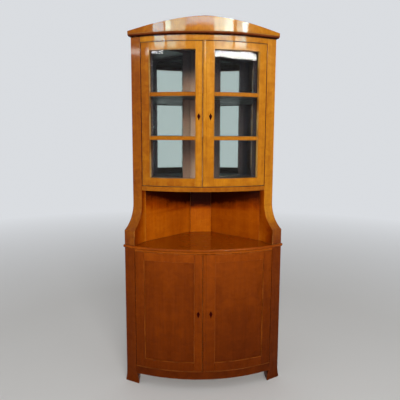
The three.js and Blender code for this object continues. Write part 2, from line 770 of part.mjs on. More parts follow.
// Mirrors lie on the back panels of the glazed case
for (const side of [-1, 1]) {
  const innerX = backStripHalf + mirrorMiddleBorder;
  const outerX = upper.rear.x - mirrorSideBorder;
  const width = Math.SQRT2 * (outerX - innerX);
  const height = upperDoorTop - hutchFloorTop - 2 * mirrorEndBorder;
  const plate = new THREE.Mesh(new THREE.BoxGeometry(width, mirrorThickness, height), mirror());
  const middle = onInnerLine((innerX + outerX) / 2);
  middle.addScalar(-(joint + mirrorThickness / 2) / Math.SQRT2);
  plate.name = `${sideWord(side)}_mirror`;
  plate.position.set(side * middle.x, middle.y, hutchFloorTop + mirrorEndBorder + height / 2 - counterTop);
  plate.rotation.z = (-side * Math.PI) / 4;
  upperCase.add(plate);
}

// Doors
for (const side of [-1, 1]) {
  cabinet.add(makeDoor(lower, side, `lower_${sideWord(side)}_door`));
  cabinet.add(makeDoor(upper, side, `upper_${sideWord(side)}_door`));
}

export default cabinet;
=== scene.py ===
from math import asin, ceil, cos, pi, radians, sin, sqrt, tan

import bpy
import numpy as np
from mathutils import Matrix, Vector


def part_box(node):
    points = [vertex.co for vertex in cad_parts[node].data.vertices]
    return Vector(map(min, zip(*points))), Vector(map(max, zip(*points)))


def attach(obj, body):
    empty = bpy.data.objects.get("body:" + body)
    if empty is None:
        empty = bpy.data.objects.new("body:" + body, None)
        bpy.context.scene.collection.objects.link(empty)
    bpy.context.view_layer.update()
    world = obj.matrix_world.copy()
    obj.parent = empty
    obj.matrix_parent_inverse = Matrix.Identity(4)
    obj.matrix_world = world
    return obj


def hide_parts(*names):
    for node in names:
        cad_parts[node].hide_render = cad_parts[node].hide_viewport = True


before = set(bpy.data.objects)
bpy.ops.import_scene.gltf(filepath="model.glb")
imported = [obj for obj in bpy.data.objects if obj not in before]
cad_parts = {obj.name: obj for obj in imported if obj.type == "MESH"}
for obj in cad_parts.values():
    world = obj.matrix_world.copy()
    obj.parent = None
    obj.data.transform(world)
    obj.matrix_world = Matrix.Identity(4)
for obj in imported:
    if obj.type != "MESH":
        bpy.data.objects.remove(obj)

scene = bpy.context.scene
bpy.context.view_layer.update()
print("frame loaded:", len(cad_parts), "nodes")

# Plan of the cabinet: metres, x to the right, y back from the foremost point of the lower doors, z up
plan = {
    "lowerRadius": 0.8375,
    "frontSetback": 0.080,
    "sideSetback": 0.066,
    "lowerOpening": 0.3825,
    "upperOpening": 0.3427,
    "faceWidth": 0.072,
    "faceAngle": radians(37),
    "postTaper": 0.0165,
    "cheekTaper": 0.0177,
    "panelThickness": 0.020,
    "panelInset": 0.011,
    "stripHalf": 0.065,
    "stripProud": 0.015,
    "stripDepth": 0.040,
    "counterOverhang": 0.008,
    "trimOverhang": 0.0028,
    "railDepth": 0.030,
    "play": 0.0003,
    "arcStep": radians(0.75),
}

height = {  # from and to
    "plinth": (0.060, 0.106),
    "lowerDoor": (0.108, 0.773),
    "headRail": (0.775, 0.785),
    "counter": (0.785, 0.802),
    "sweep": (0.882, 1.032),
    "floor": (1.100, 1.126),
    "upperDoor": (1.128, 1.890),
    "frieze": (1.892, 1.920),
    "cornice": (1.920, 1.935),
}
sides = ((-1, "left"), (1, "right"))
rootTwo = sqrt(2)
frontShift = (0.0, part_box("counter")[0].y + plan["counterOverhang"], 0.0)  # from the plan to the model


def joined(*parts):
    # The parts side by side along a new last axis
    return np.stack(np.broadcast_arrays(*parts), axis=-1)


def onArc(radius, angle):
    # x = r sin a, y = R - r cos a: all bowed faces turn about one centre, R behind the foremost point
    return joined(radius * np.sin(angle), plan["lowerRadius"] - radius * np.cos(angle))


def angleAt(radius, x):
    return np.arcsin(x / radius)


alongWall = np.array([1.0, -1.0]) / rootTwo
faceRun = np.array([cos(plan["faceAngle"]), sin(plan["faceAngle"])])
faceOut = np.array([faceRun[1], -faceRun[0]])
upperRadius = plan["lowerRadius"] - plan["frontSetback"]
lowerOpening = onArc(plan["lowerRadius"], angleAt(plan["lowerRadius"], plan["lowerOpening"]))
upperOpening = onArc(upperRadius, angleAt(upperRadius, plan["upperOpening"]))
lowerCorner = lowerOpening + faceRun * plan["faceWidth"]
upperCorner = lowerCorner - alongWall * plan["sideSetback"]

# Lines along the two walls, each given by its x + y on the right
bodyLine = lowerCorner.sum()
panelOuter = bodyLine - rootTwo * plan["panelInset"]
panelInner = panelOuter - rootTwo * plan["panelThickness"]
trimLine = bodyLine + rootTwo * plan["trimOverhang"]
stripFront = panelInner - plan["stripHalf"] - plan["stripProud"]
backY = stripFront + plan["stripDepth"]

lowerRearX = plan["lowerOpening"] - plan["postTaper"]
upperRearX = plan["upperOpening"] - plan["cheekTaper"]
lowerFront = {
    "radius": plan["lowerRadius"],
    "opening": lowerOpening,
    "corner": lowerCorner,
    "rear": np.array([lowerRearX, panelInner - lowerRearX]),
    "door": height["lowerDoor"],
    "hingeStile": 0.056,
    "innerEdge": 0.057,
    "topRail": 0.046,
    "bottomRail": 0.050,
    "keyholeZ": 0.440,
}
upperFront = {
    "radius": upperRadius,
    "opening": upperOpening,
    "corner": upperCorner,
    "rear": np.array([upperRearX, panelInner - upperRearX]),
    "door": height["upperDoor"],
    "hingeStile": 0.050,
    "innerEdge": 0.051,
    "topRail": 0.042,
    "bottomRail": 0.046,
    "keyholeZ": 1.504,
}


sheet = {}  # its "tree" is the node tree that is being filled


def startSheet(tree):
    tree.nodes.clear()
    sheet["tree"] = tree


def node(kind, sockets=None, **settings):
    # One shader node: settings are its properties, and a socket takes a value or a link
    made = sheet["tree"].nodes.new("ShaderNode" + kind)
    for key, value in settings.items():
        setattr(made, key, value)
    for key, value in (sockets or {}).items():
        if isinstance(value, bpy.types.NodeSocket):
            sheet["tree"].links.new(value, made.inputs[key])
        else:
            made.inputs[key].default_value = value
    return made


def noise(place, scale, detail=2.0, roughness=0.5, distortion=0.0, shift=0.0):
    # Noise of the place stretched by its own scale along each axis
    spread = node("Mapping", {"Vector": place, "Scale": scale, "Location": (shift, shift, shift)})
    sockets = {
        "Vector": spread.outputs[0],
        "Scale": 1.0,
        "Detail": detail,
        "Roughness": roughness,
        "Distortion": distortion,
    }
    return node("TexNoise", sockets).outputs["Fac"]


def reach(value, low, high, toLow=0.0, toHigh=1.0):
    sockets = {"Value": value, "From Min": low, "From Max": high, "To Min": toLow, "To Max": toHigh}
    return node("MapRange", sockets).outputs["Result"]


def combine(operation, first, *others):
    # The values joined one after the other by an operation of the Math node
    for value in others:
        first = node("Math", {0: first, 1: value}, operation=operation).outputs[0]
    return first


def times(value, share):
    return combine("MULTIPLY", value, share)


def weighted(*parts):
    # The sum of the values, each times its share
    return combine("ADD", *(times(value, share) for value, share in parts))


def ramp(value, stops):
    made = node("ValToRGB", {"Fac": value})
    elements = made.color_ramp.elements
    while len(elements) < len(stops):
        elements.new(0.5)
    for element, (place, colour) in zip(elements, stops):
        element.position = place
        element.color = colour
    return made.outputs["Color"]


def tint(share, a, b, mode="MIX"):
    # Colour a carried towards b by the share
    return node("Mix", {0: share, 6: a, 7: b}, data_type="RGBA", blend_type=mode).outputs[2]


def bumped(relief, strength, distance):
    return node("Bump", {"Strength": strength, "Distance": distance, "Height": relief}).outputs[0]


def mixShader(share, a, b):
    return node("MixShader", {0: share, 1: a.outputs[0], 2: b.outputs[0]}).outputs[0]


def attribute(name):
    return node("Attribute", attribute_name=name).outputs["Vector"]


def rimDistance():
    # The rim attribute holds the metres to a piece's four edges: this is the least of them
    rim = node("Attribute", attribute_name="rim").outputs
    parts = node("SeparateColor", {0: rim["Color"]}).outputs
    return combine("MINIMUM", parts[0], parts[1], parts[2], rim["Alpha"])


def backdropRays():
    # 1 for a ray that sees the backdrop itself, straight on, in a polish or through glass
    path = node("LightPath").outputs
    return combine("MAXIMUM", path["Is Camera Ray"], path["Is Glossy Ray"], path["Is Transmission Ray"])


def rgba(colour, share=1.0):
    return (*(share * np.array(colour)), 1.0)


def linear(red, green, blue):
    # A colour as it is seen on a screen, 0 to 255, in the values that shaders use
    seen = np.array([red, green, blue]) / 255.0
    return rgba(np.where(seen <= 0.04045, seen / 12.92, ((seen + 0.055) / 1.055) ** 2.4))


def shades(*colours):
    # The stops of a ramp from dark to pale
    places = (0.0, 0.5, 1.0) if len(colours) == 3 else (0.0, 0.35, 0.65, 1.0)
    return [(place, linear(*colour)) for place, colour in zip(places, colours)]


# Metres from the nearest edge at which each mark starts, and at which it is full: dirt and foxing are wear, the
# dark line beside gaps is painted shadow, and the pale arris is partly rubbed wear and partly painted highlight
wearAndPaintedLight = {"dirt": (0.014, 0.0), "paintedShadowLine": (0.0034, 0.0016), "rubAndPaintedHighlight": (0.0022, 0.0004), "foxed": (0.012, 0.0)}


woodNoises = {  # detail, roughness, distortion and shift
    "cloud": (3.0, 0.55, 0.6, 0.0),
    "streak": (4.0, 0.6, 0.3, 3.1),
    "figure": (2.0, 0.5, 0.8, 7.7),
    "fibre": (3.0, 0.65, 0.0, 1.3),
    "pore": (1.0, 0.5, 0.0, 5.9),
}


def shellacWood(look):
    # Veneer under polish: broad clouds, streaks along the grain, a soft cross figure and pores. Every second
    # leaf is turned over, so the figure mirrors where two leaves meet. The grain attribute holds metres across,
    # into and along the wood. The leaf attribute holds a tone (painted light and shade on many pieces), the
    # depth past which the colour is a painted shade, and how much painted light makes that shade paler.
    grain = node("SeparateXYZ", {0: attribute("grain")}).outputs
    leaf = node("SeparateXYZ", {0: attribute("leaf")}).outputs
    rim = rimDistance()
    folded = combine("PINGPONG", grain[0], look["leafWidth"])
    place = node("CombineXYZ", {0: folded, 1: grain[1], 2: grain[2]}).outputs[0]
    leafNumber = combine("FLOOR", combine("DIVIDE", grain[0], look["leafWidth"]), 0.0)
    leafTone = node("TexWhiteNoise", {"W": leafNumber}, noise_dimensions="1D").outputs["Value"]

    clouds, streaks, figure, fibres, pores = (
        noise(place, look[f"{word}Scale"], *numbers) for word, numbers in woodNoises.items())
    patches = noise(place, (9.0, 9.0, 9.0), 3.0, 0.6, 0.0, 2.2)  # where the edges are dirty or rubbed
    wearMap = noise(place, (24.0, 24.0, 8.0), 4.0, 0.6, 0.0, 4.4)  # where the polish has gone dull

    shares = [look[key] for key in ("cloudShare", "streakShare", "figureShare")]
    mixed = weighted(*zip((clouds, streaks, figure), shares))
    contrast = {0: mixed, 1: look["contrast"], 2: -look["contrast"] / 2}
    mixed = node("Math", contrast, operation="MULTIPLY_ADD").outputs[0]
    leafSpread = reach(leafTone, 0.0, 1.0, -look["leafSpread"], look["leafSpread"])
    mixed = combine("ADD", mixed, leaf[0], leafSpread)
    colour = ramp(reach(mixed, -0.25, 0.25), look["colours"])

    # Dark fibres, pores and the dirt a little way in from the edges, then a painted shadow line along the free
    # edges, then pale arrises that are partly rubbed wear and partly a painted highlight
    dirt = reach(rim, *wearAndPaintedLight["dirt"], 0.0, look["dirtShare"])
    for share, shade in (
        (reach(fibres, 0.35, 0.75, 0.0, look["fibreShare"]), "dark"),
        (reach(pores, 0.68, 0.74, 0.0, look["poreShare"]), "dark"),
        (times(dirt, reach(patches, 0.3, 0.7)), "dark"),
        # a painted shadow line along free edges, where the gaps beside them lie in shade
        (reach(rim, *wearAndPaintedLight["paintedShadowLine"], 0.0, look["paintedShadowLineShare"]), "paintedShadowLine"),
    ):
        colour = tint(share, colour, look[shade], "MULTIPLY")
    # pale arrises: partly rubbed wear, partly a painted highlight where the arrises catch light
    rubAndPaintedHighlight = reach(rim, *wearAndPaintedLight["rubAndPaintedHighlight"], 0.0, look["rubAndPaintedHighlightShare"])
    rubAndPaintedHighlight = times(rubAndPaintedHighlight, reach(patches, 0.42, 0.6, 0.25, 1.0))
    colour = tint(rubAndPaintedHighlight, colour, look["rubAndPaintedHighlight"])

    # past this depth the colour is a dark painted shade, as in gaps, on door backs and inside the glazed case
    inside = combine("GREATER_THAN", grain[1], leaf[1])
    insideColour = ramp(fibres, list(zip((0.3, 0.7), look["inside"])))
    # painted light: the painted shade turns paler towards the glazed case's back
    insideColour = tint(leaf[2], insideColour, look["insideBare"])
    roughness = reach(wearMap, 0.3, 0.75, *look["roughness"])
    shader = node("BsdfPrincipled", {
        "Base Color": tint(inside, colour, insideColour),
        "Roughness": combine("ADD", roughness, times(inside, 0.3)),
        "Normal": bumped(weighted((fibres, 0.7), (wearMap, 0.6)), look["bump"], 0.0004),
        "IOR": 1.5,
        "Specular IOR Level": look["specular"],
        "Coat Weight": reach(inside, 0.0, 1.0, look["coat"], 0.0),  # no coat on the painted shade
        "Coat Roughness": 0.06,
        "Coat IOR": 1.5,
    })
    return shader.outputs[0]


amberLook = {
    "leafWidth": 0.14,
    "leafSpread": 0.016,
    "contrast": 0.62,
    "cloudScale": (7.0, 7.0, 2.2),
    "streakScale": (70.0, 60.0, 3.0),
    "figureScale": (20.0, 16.0, 30.0),
    "fibreScale": (800.0, 500.0, 14.0),
    "poreScale": (420.0, 420.0, 60.0),
    "cloudShare": 0.40,
    "streakShare": 0.26,
    "figureShare": 0.34,
    "colours": shades((120, 52, 5), (158, 88, 11), (194, 124, 20), (222, 156, 44)),
    "dark": linear(150, 84, 24),
    # pale arrises, partly rubbed wear and partly painted highlight
    "rubAndPaintedHighlight": linear(236, 186, 98),
    # painted shade colours for gaps, door backs and the glazed case's insides
    "inside": (linear(48, 27, 20), linear(72, 46, 36)),
    # the colour of the painted light on that painted shade
    "insideBare": linear(186, 132, 108),
    "fibreShare": 0.3,
    "poreShare": 0.6,
    "dirtShare": 0.25,
    # a painted shadow line along free edges beside gaps
    "paintedShadowLine": linear(120, 48, 12),
    "paintedShadowLineShare": 0.6,
    "rubAndPaintedHighlightShare": 0.5,
    "roughness": (0.22, 0.36),
    "specular": 0.02,
    "coat": 0.16,
    "bump": 0.2,
}
# the doors' backs and gap faces get a browner painted shade
doorLook = {**amberLook, "inside": (linear(46, 22, 12), linear(66, 36, 20))}
redLook = {
    **amberLook,
    "colours": shades((72, 24, 1), (106, 43, 2), (138, 62, 5), (178, 92, 12)),
    "dark": linear(130, 60, 20),
    "rubAndPaintedHighlight": linear(196, 110, 40),
    "inside": (linear(66, 36, 18), linear(98, 58, 32)),
    "dirtShare": 0.08,
    "paintedShadowLineShare": 0.15,
    "contrast": 0.42,
    "fibreShare": 0.2,
    "poreShare": 0.3,
    "coat": 0.06,
}
counterLook = {
    **redLook,
    "colours": [(place, rgba(colour[:3], 1.3)) for place, colour in redLook["colours"]],
    "coat": 0.8,
    "roughness": (0.18, 0.3),
    "bump": 0.06,
}
# the red veneer made paler as painted light for the shaded niche, with a near-black first stop for the painted
# shadow under the glazed case's floor
nichePaintedLightLook = {
    **redLook,
    "colours": shades((58, 17, 1), (150, 61, 2), (190, 96, 9), (224, 138, 30)),
    "inside": (linear(44, 33, 38), linear(64, 50, 55)),
    "coat": 0.03,
}
# a darker red for the cornice: painted shade on its downward-facing cove
paintedShadeMouldingLook = {**redLook, "colours": shades((44, 7, 1), (100, 42, 12), (146, 78, 26)), "coat": 0.15}
plainLook = {
    **amberLook,
    "leafWidth": 0.5,
    "streakScale": (60.0, 60.0, 3.0),
    "colours": shades((112, 70, 36), (136, 88, 46), (154, 104, 58), (172, 122, 74)),
    "dark": linear(120, 84, 54),
    "rubAndPaintedHighlight": linear(186, 140, 92),
    "fibreShare": 0.7,
    "roughness": (0.5, 0.68),
    "specular": 0.3,
    "coat": 0.0,
    "bump": 0.5,
}
insideLook = {  # the boards in the glazed case, painted dark as its shade
    **plainLook,
    "colours": shades((36, 26, 27), (50, 37, 37), (66, 50, 50)),
    "dark": linear(120, 90, 80),
    "rubAndPaintedHighlight": linear(88, 62, 52),
    "roughness": (0.35, 0.5),
    "specular": 0.15,
}


def drawnMetal(look):
    # Metal or ebonised wood with fine scratches and dull patches, on Object coordinates
    place = node("TexCoord").outputs["Object"]
    dull = noise(place, (60.0, 60.0, 60.0), 4.0, 0.6)
    scratch = noise(place, (900.0, 900.0, 60.0), 2.0, 0.5, 0.0, 2.0)
    roughness = combine("ADD", dull, times(scratch, 0.3))
    shader = node("BsdfPrincipled", {
        "Base Color": tint(reach(dull, 0.4, 0.7), look["bright"], look["tarnish"]),
        "Metallic": look["metallic"],
        "Specular IOR Level": look["specular"],
        "Roughness": reach(roughness, 0.4, 0.95, *look["roughness"]),
        "Normal": bumped(scratch, 0.2, 0.0002),
    })
    return shader.outputs[0]


ebonisedLook = {
    "bright": linear(52, 2, 1),
    "tarnish": linear(32, 2, 1),
    "metallic": 0.0,
    "specular": 0.02,
    "roughness": (0.25, 0.5),
}
steelLook = {
    "bright": linear(150, 150, 150),
    "tarnish": linear(100, 96, 92),
    "metallic": 1.0,
    "specular": 0.5,
    "roughness": (0.3, 0.55),
}
brassLook = {
    **steelLook,
    "bright": linear(190, 150, 80),
    "tarnish": linear(128, 96, 50),
    "roughness": (0.25, 0.5),
}


def paneGlass(look):
    # Old drawn glass: faint waves and smears, and lamps reach what is behind it
    place = node("TexCoord").outputs["Object"]
    waves = noise(place, (5.0, 5.0, 2.0), 1.0)
    smears = noise(place, (14.0, 14.0, 5.0), 4.0, 0.6, 0.4, 3.0)
    shader = node("BsdfPrincipled", {
        "Base Color": tint(smears, rgba(look["clear"]), rgba(look["smeared"])),
        "Roughness": reach(smears, 0.45, 0.8, 0.0, look["smearRoughness"]),
        "IOR": look["ior"],
        "Transmission Weight": 1.0,
        "Normal": bumped(waves, 0.05, 0.002),
    })
    lamp = node("BsdfTransparent", {"Color": rgba(look["lamp"])})
    return mixShader(node("LightPath").outputs["Is Shadow Ray"], shader, lamp)


glassLook = {
    "clear": (0.985, 0.99, 0.988),
    "smeared": (0.96, 0.975, 0.97),
    "lamp": (0.6, 0.62, 0.61),
    "smearRoughness": 0.03,
    "ior": 1.2,
}


def silvered(look):
    # Mirror plate, foxed towards its edges
    place = attribute("grain")
    spots = noise(place, (55.0, 55.0, 55.0), 5.0, 0.65, 0.5)
    foxing = times(reach(rimDistance(), *wearAndPaintedLight["foxed"]), reach(spots, 0.5, 0.7))
    haze = noise(place, (6.0, 6.0, 3.0), 3.0, 0.6, 0.0, 9.0)
    roughness = reach(haze, 0.4, 0.8, 0.015, 0.05)
    shader = node("BsdfPrincipled", {
        "Base Color": tint(foxing, look["silver"], look["foxed"]),
        "Metallic": 1.0,
        "Roughness": combine("ADD", roughness, times(foxing, 0.4)),
        "Normal": bumped(haze, 0.02, 0.002),
    })
    return shader.outputs[0]


mirrorLook = {"silver": linear(226, 234, 231), "foxed": linear(128, 122, 112)}


def makeFinish(name, build, look):
    made = bpy.data.materials.new(name)
    made.use_nodes = True
    startSheet(made.node_tree)
    node("OutputMaterial", {"Surface": build(look)})
    return made


finishes = {slot: makeFinish(*parts) for slot, parts in {
    "amber_veneer": ("amberVeneer", shellacWood, amberLook),
    "door_veneer": ("doorVeneer", shellacWood, doorLook),
    "red_veneer": ("redVeneer", shellacWood, redLook),
    "plain_wood": ("plainWood", shellacWood, plainLook),
    "inside_wood": ("insideWood", shellacWood, insideLook),
    "painted_shade_moulding": ("paintedShadeMoulding", shellacWood, paintedShadeMouldingLook),
    "counter_polish": ("counterPolish", shellacWood, counterLook),
    "niche_painted_light": ("nichePaintedLight", shellacWood, nichePaintedLightLook),
    "ebonised": ("ebonisedWood", drawnMetal, ebonisedLook),
    "steel": ("pinSteel", drawnMetal, steelLook),
    "brass": ("boltBrass", drawnMetal, brassLook),
    "door_glass": ("paneGlass", paneGlass, glassLook),
    "mirror": ("silvered", silvered, mirrorLook),
}.items()}
print("finishes made:", len(finishes))


def skin(rings):
    # Four-sided faces between neighbouring rings and one flat face over each end, turned to face outwards: the
    # volume, a sum of a . (b x c) over all triangles, is positive where they do
    stations, count = rings.shape[:2]
    index = np.arange(stations * count).reshape(stations, count)
    after = np.roll(index, -1, axis=1)
    quads = joined(index[:-1], after[:-1], after[1:], index[1:]).reshape(-1, 4)
    caps = [index[0, ::-1], index[-1]]
    points = rings.reshape(-1, 3)
    fans = [joined(cap[0], cap[1:-1], cap[2:]) for cap in caps]
    triangles = np.concatenate([quads[:, [0, 1, 2]], quads[:, [0, 2, 3]], *fans])
    a, b, c = (points[triangles[:, i]] for i in range(3))
    outward = np.einsum("ij,ij->i", a, np.cross(b, c)).sum() > 0
    return points, [face.tolist() if outward else face[::-1].tolist() for face in (*quads, *caps)]


def planMesh(name, points, faces):
    mesh = bpy.data.meshes.new(name)
    mesh.from_pydata((points + frontShift).tolist(), [], faces)
    return mesh


def planPoints(mesh):
    points = np.empty(len(mesh.vertices) * 3)
    mesh.vertices.foreach_get("co", points)
    return points.reshape(-1, 3) - frontShift


def newObject(name, data):
    made = bpy.data.objects.new(name, data)
    scene.collection.objects.link(made)
    return made


def cutAway(mesh, blocks):
    # The mesh less some blocks, each a pair of rings of four corners
    name = mesh.name
    whole = newObject("uncut", mesh)
    helpers = [whole]
    for block in blocks:
        helpers.append(newObject("seat", planMesh("seat", *skin(block))))
        cut = whole.modifiers.new("seat", "BOOLEAN")
        cut.operation = "DIFFERENCE"
        cut.solver = "EXACT"
        cut.object = helpers[-1]
    rest = bpy.data.meshes.new_from_object(whole.evaluated_get(bpy.context.evaluated_depsgraph_get()))
    for helper in helpers:
        shape = helper.data
        bpy.data.objects.remove(helper)
        bpy.data.meshes.remove(shape)
    rest.name = name
    rest.materials.clear()
    rest.polygons.foreach_set("material_index", np.zeros(len(rest.polygons), dtype=np.int32))
    return rest


pieces = []
never, always = 9.0, -9.0  # depths at which painted shade starts, for a piece that has none and for one that is all shade
lip = 0.002  # the veneer and polish go this far into the gaps round the doors; past that the gap is painted shade
sharpAngle = radians(30)
nextFigure = np.array([2.8, 0.0, 1.31])  # metres from one piece's figure to the next one's


def addPiece(name, cadNode, rings, grain, slot, arris, body="case", tone=0.0, inside=never, bare=0.0,
             edges=True, segments=2, finish=None, second=None, joints=0.0, seats=()):
    # A closed piece from rings in the plan's frame, in the place of one node. grain is each point's metres
    # across, into and along. tone (painted light and shade on many pieces), the depth past which the colour is
    # a painted shade, and how much painted light makes that shade paler are one number, or one for each ring or
    # point.
    # seats are blocks cut out of it, and then grain is a function of the points. second is the corners whose
    # faces, each up to the next corner, have another finish, and that finish. joints is added to the metres to
    # the four edges, so that an edge which meets another piece shows no dirt, rubbing, painted shadow line or
    # painted highlight.
    points, faces = skin(rings)
    mesh = planMesh(name, points, faces)
    if seats:
        mesh = cutAway(mesh, seats)
        points = planPoints(mesh)
    flat = grain(points) if seats else np.broadcast_to(grain, rings.shape).reshape(-1, 3)

    def spread(value):  # one number for each point
        value = np.broadcast_to(np.reshape(value, (-1, 1)) if np.ndim(value) < 2 else value, rings.shape[:2])
        return np.interp(points[:, 2], rings[:, 0, 2], value[:, 0]) if seats else value.ravel()

    low, high = flat.min(axis=0), flat.max(axis=0)
    rim = joined(flat[:, 0] - low[0], high[0] - flat[:, 0], flat[:, 2] - low[2], high[2] - flat[:, 2])
    rim = rim + joined(*(spread(column) for column in np.broadcast_to(joints, (len(rings), 4)).T))
    if not edges:
        rim = np.ones_like(rim)
    shifted = flat - (low[0], 0.0, 0.0) + len(pieces) * nextFigure
    leaf = joined(*(spread(value) for value in (tone, inside, bare)))
    for word, kind, values in (("grain", "vector", shifted), ("rim", "color", rim), ("leaf", "vector", leaf)):
        held = mesh.attributes.new(word, f"FLOAT_{kind.upper()}", "POINT")
        held.data.foreach_set(kind, values.ravel())
    mesh.polygons.foreach_set("use_smooth", np.ones(len(mesh.polygons), dtype=bool))
    mesh.materials.append(finishes[finish or slot])
    if second:
        mesh.materials.append(finishes[second[1]])
        number = np.arange(len(faces))
        isSecond = np.isin(number % rings.shape[1], second[0]) & (number < (len(rings) - 1) * rings.shape[1])
        mesh.polygons.foreach_set("material_index", isSecond.astype(np.int32))
    piece = newObject(name, mesh)
    if arris:
        rounded = piece.modifiers.new("arrises", "BEVEL")
        rounded.width = arris
        rounded.segments = segments
        rounded.limit_method = "ANGLE"
        rounded.angle_limit = sharpAngle
        rounded.harden_normals = True
    else:
        mesh.set_sharp_from_angle(angle=sharpAngle)
    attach(piece, body)
    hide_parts(cadNode)
    pieces.append(piece)


def stacked(plans, levels):
    # Rings of a plan that changes with height
    plans = np.broadcast_to(plans, (len(levels), *np.shape(plans)[-2:]))
    return joined(plans[..., 0], plans[..., 1], np.asarray(levels)[:, None])


def bent(section, start, stop):
    # A section of (radius, z) carried round the front, at share t to the angle start + t (stop - start)
    section = np.asarray(section, dtype=float)
    start, stop = (np.broadcast_to(end, len(section)) for end in (start, stop))
    steps = max(2, ceil(float(np.abs(stop - start).max()) / plan["arcStep"]))
    angle = start + (stop - start) * np.linspace(0.0, 1.0, steps + 1)[:, None]
    radius, z = (np.broadcast_to(column, angle.shape) for column in section.T)
    rings = np.concatenate([onArc(radius, angle), z[..., None]], axis=-1)
    outer = section[:, 0].max()
    return rings, joined(outer * angle, outer - radius, z)


def faceGrain(rings, side, origin):
    # Across runs along the canted face, into runs behind it, along is up
    x, y = side * rings[..., 0] - origin[0], rings[..., 1] - origin[1]
    return joined(x * faceRun[0] + y * faceRun[1], -(x * faceOut[0] + y * faceOut[1]), rings[..., 2])


def arcGrain(rings, side, radius):
    # Across is measured along the bow, into from the face, along is up
    x, y = side * rings[..., 0], plan["lowerRadius"] - rings[..., 1]
    return joined(radius * np.arctan2(x, y), radius - np.hypot(x, y), rings[..., 2])


def wallGrain(rings, side):
    # Across runs along the wall, into runs away from it, along is up
    x, y = side * rings[..., 0], rings[..., 1]
    return joined((x - y) / rootTwo, (x + y) / rootTwo, rings[..., 2])


def arcPlan(radius, start, stop):
    steps = max(1, ceil(abs(stop - start) / plan["arcStep"]))
    return onArc(radius, np.linspace(start, stop, steps + 1))


def mirrorPlan(points):
    return (points * (-1.0, 1.0))[::-1]


# Posts with their feet, and cheeks with their sweep
def sidePlans(opening, corner, rear):
    # Opening corner, front corner, and the two rear corners at the back panel
    rearAtWall = rear + (bodyLine - panelInner) / 2
    return np.stack(np.broadcast_arrays(opening, corner, rearAtWall, rear), axis=-2)


foot = {"height": 0.060, "bracket": 0.020, "flare": 0.009, "levels": 16, "arris": 0.0016}
zFoot = foot["height"] * np.sin(np.linspace(0.0, pi / 2, foot["levels"]))
zFoot = np.append(zFoot, [height["plinth"][1], height["lowerDoor"][0], height["counter"][0]])
footShare = np.minimum(1.0, zFoot / foot["height"])[:, None]
postPlans = sidePlans(
    lowerOpening - faceRun * foot["bracket"] * (1 - footShare**3),
    lowerCorner + alongWall * foot["flare"] * (1 - footShare) ** 2,
    lowerFront["rear"],
)

sweep = {"drop": height["sweep"][1] - height["sweep"][0], "levels": 26, "arris": 0.0016}
sweepRadius = (plan["frontSetback"] ** 2 + sweep["drop"] ** 2) / (2 * plan["frontSetback"])
zSweep = np.linspace(height["sweep"][0], height["sweep"][1], sweep["levels"])
drop = height["sweep"][1] - zSweep
share = (sweepRadius - np.sqrt(sweepRadius**2 - drop**2)) / plan["frontSetback"]  # part of a wide circle
share = np.concatenate([[1.0], share, [0.0, 0.0, 0.0]])[:, None]
zCheek = np.array([height["counter"][1], *zSweep, height["floor"][0], height["floor"][1], height["frieze"][1]])
cheekPlans = sidePlans(
    upperOpening + (lowerOpening - upperOpening) * share,
    upperCorner + (lowerCorner - upperCorner) * share,
    upperFront["rear"],
)


def gapPaintedShade(levels, start):
    # Above the start the face towards the doors is painted shade behind its lip, and the other faces are not
    deep = np.where(levels < start, never, lip)
    return joined(deep, never, never, deep)


# Tones at some heights, of the left piece and of the right one. They are painted light and shade: the posts
# darker towards the floor, the cheeks dark low down and the right one paler above the sweep, and the inner
# faces darker just under the glazed case's floor, the right one from lower down
postPaintedShade = ([0.0, 0.108, 0.785], {-1: [-0.13, -0.10, -0.02], 1: [-0.18, -0.15, -0.02]})
cheekPaintedLight = (
    [0.802, 0.870, 0.950, 1.10, 1.92],
    {-1: [-0.19, -0.18, -0.08, -0.10, -0.12], 1: [-0.21, -0.17, 0.05, 0.06, 0.08]},
)
cheekInnerPaintedShade = ([0.802, 0.90, 1.0, 1.1], {-1: [0.18, 0.20, 0.24, 0.08], 1: [0.18, 0.04, -0.14, -0.24]})
for side, word in sides:
    rings = stacked(postPlans * (side, 1.0), zFoot)
    tone = np.interp(zFoot, postPaintedShade[0], postPaintedShade[1][side])
    addPiece(f"post_{word}", f"lower_{word}_post", rings, faceGrain(rings, side, lowerOpening), "red_veneer",
             foot["arris"], tone=tone, inside=gapPaintedShade(zFoot, height["lowerDoor"][0]))
    rings = stacked(cheekPlans * (side, 1.0), zCheek)
    tone, innerTone = (np.interp(zCheek, tones[0], tones[1][side]) for tones in (cheekPaintedLight, cheekInnerPaintedShade))
    addPiece(f"cheek_{word}", f"upper_{word}_cheek", rings, faceGrain(rings, side, upperOpening),
             "amber_veneer", sweep["arris"], tone=joined(tone, tone, innerTone, innerTone),
             inside=gapPaintedShade(zCheek, height["floor"][1]), second=([3], "niche_painted_light"))
print("side pieces made")

# Backs: two panels of grooved boards and the strip across the cut-off rear corner
back = {"boards": 4, "groove": 0.0025, "arris": 0.0008, "stripArris": 0.002}


def backPanel(side, front):
    # A slab along the wall, its outer face cut by V grooves between the boards
    start = front["rear"] - alongWall * plan["play"]
    end = plan["stripHalf"] + plan["play"]
    outStart = start + (panelOuter - panelInner) / 2
    outEnd = np.array([end, panelOuter - end])
    innerEnd = np.array([end, panelInner - end])
    cuts = np.arange(1, back["boards"]) / back["boards"]
    offsets = np.array([-1.0, 0.0, 1.0]) * back["groove"] / np.linalg.norm(outEnd - outStart)
    shares = (cuts[:, None] + offsets).ravel()
    depths = np.tile([0.0, back["groove"], 0.0], len(cuts))
    grooves = outStart + (outEnd - outStart) * shares[:, None] - depths[:, None] / rootTwo
    return np.concatenate([[start, outStart], grooves, [outEnd, innerEnd]]) * (side, 1.0)


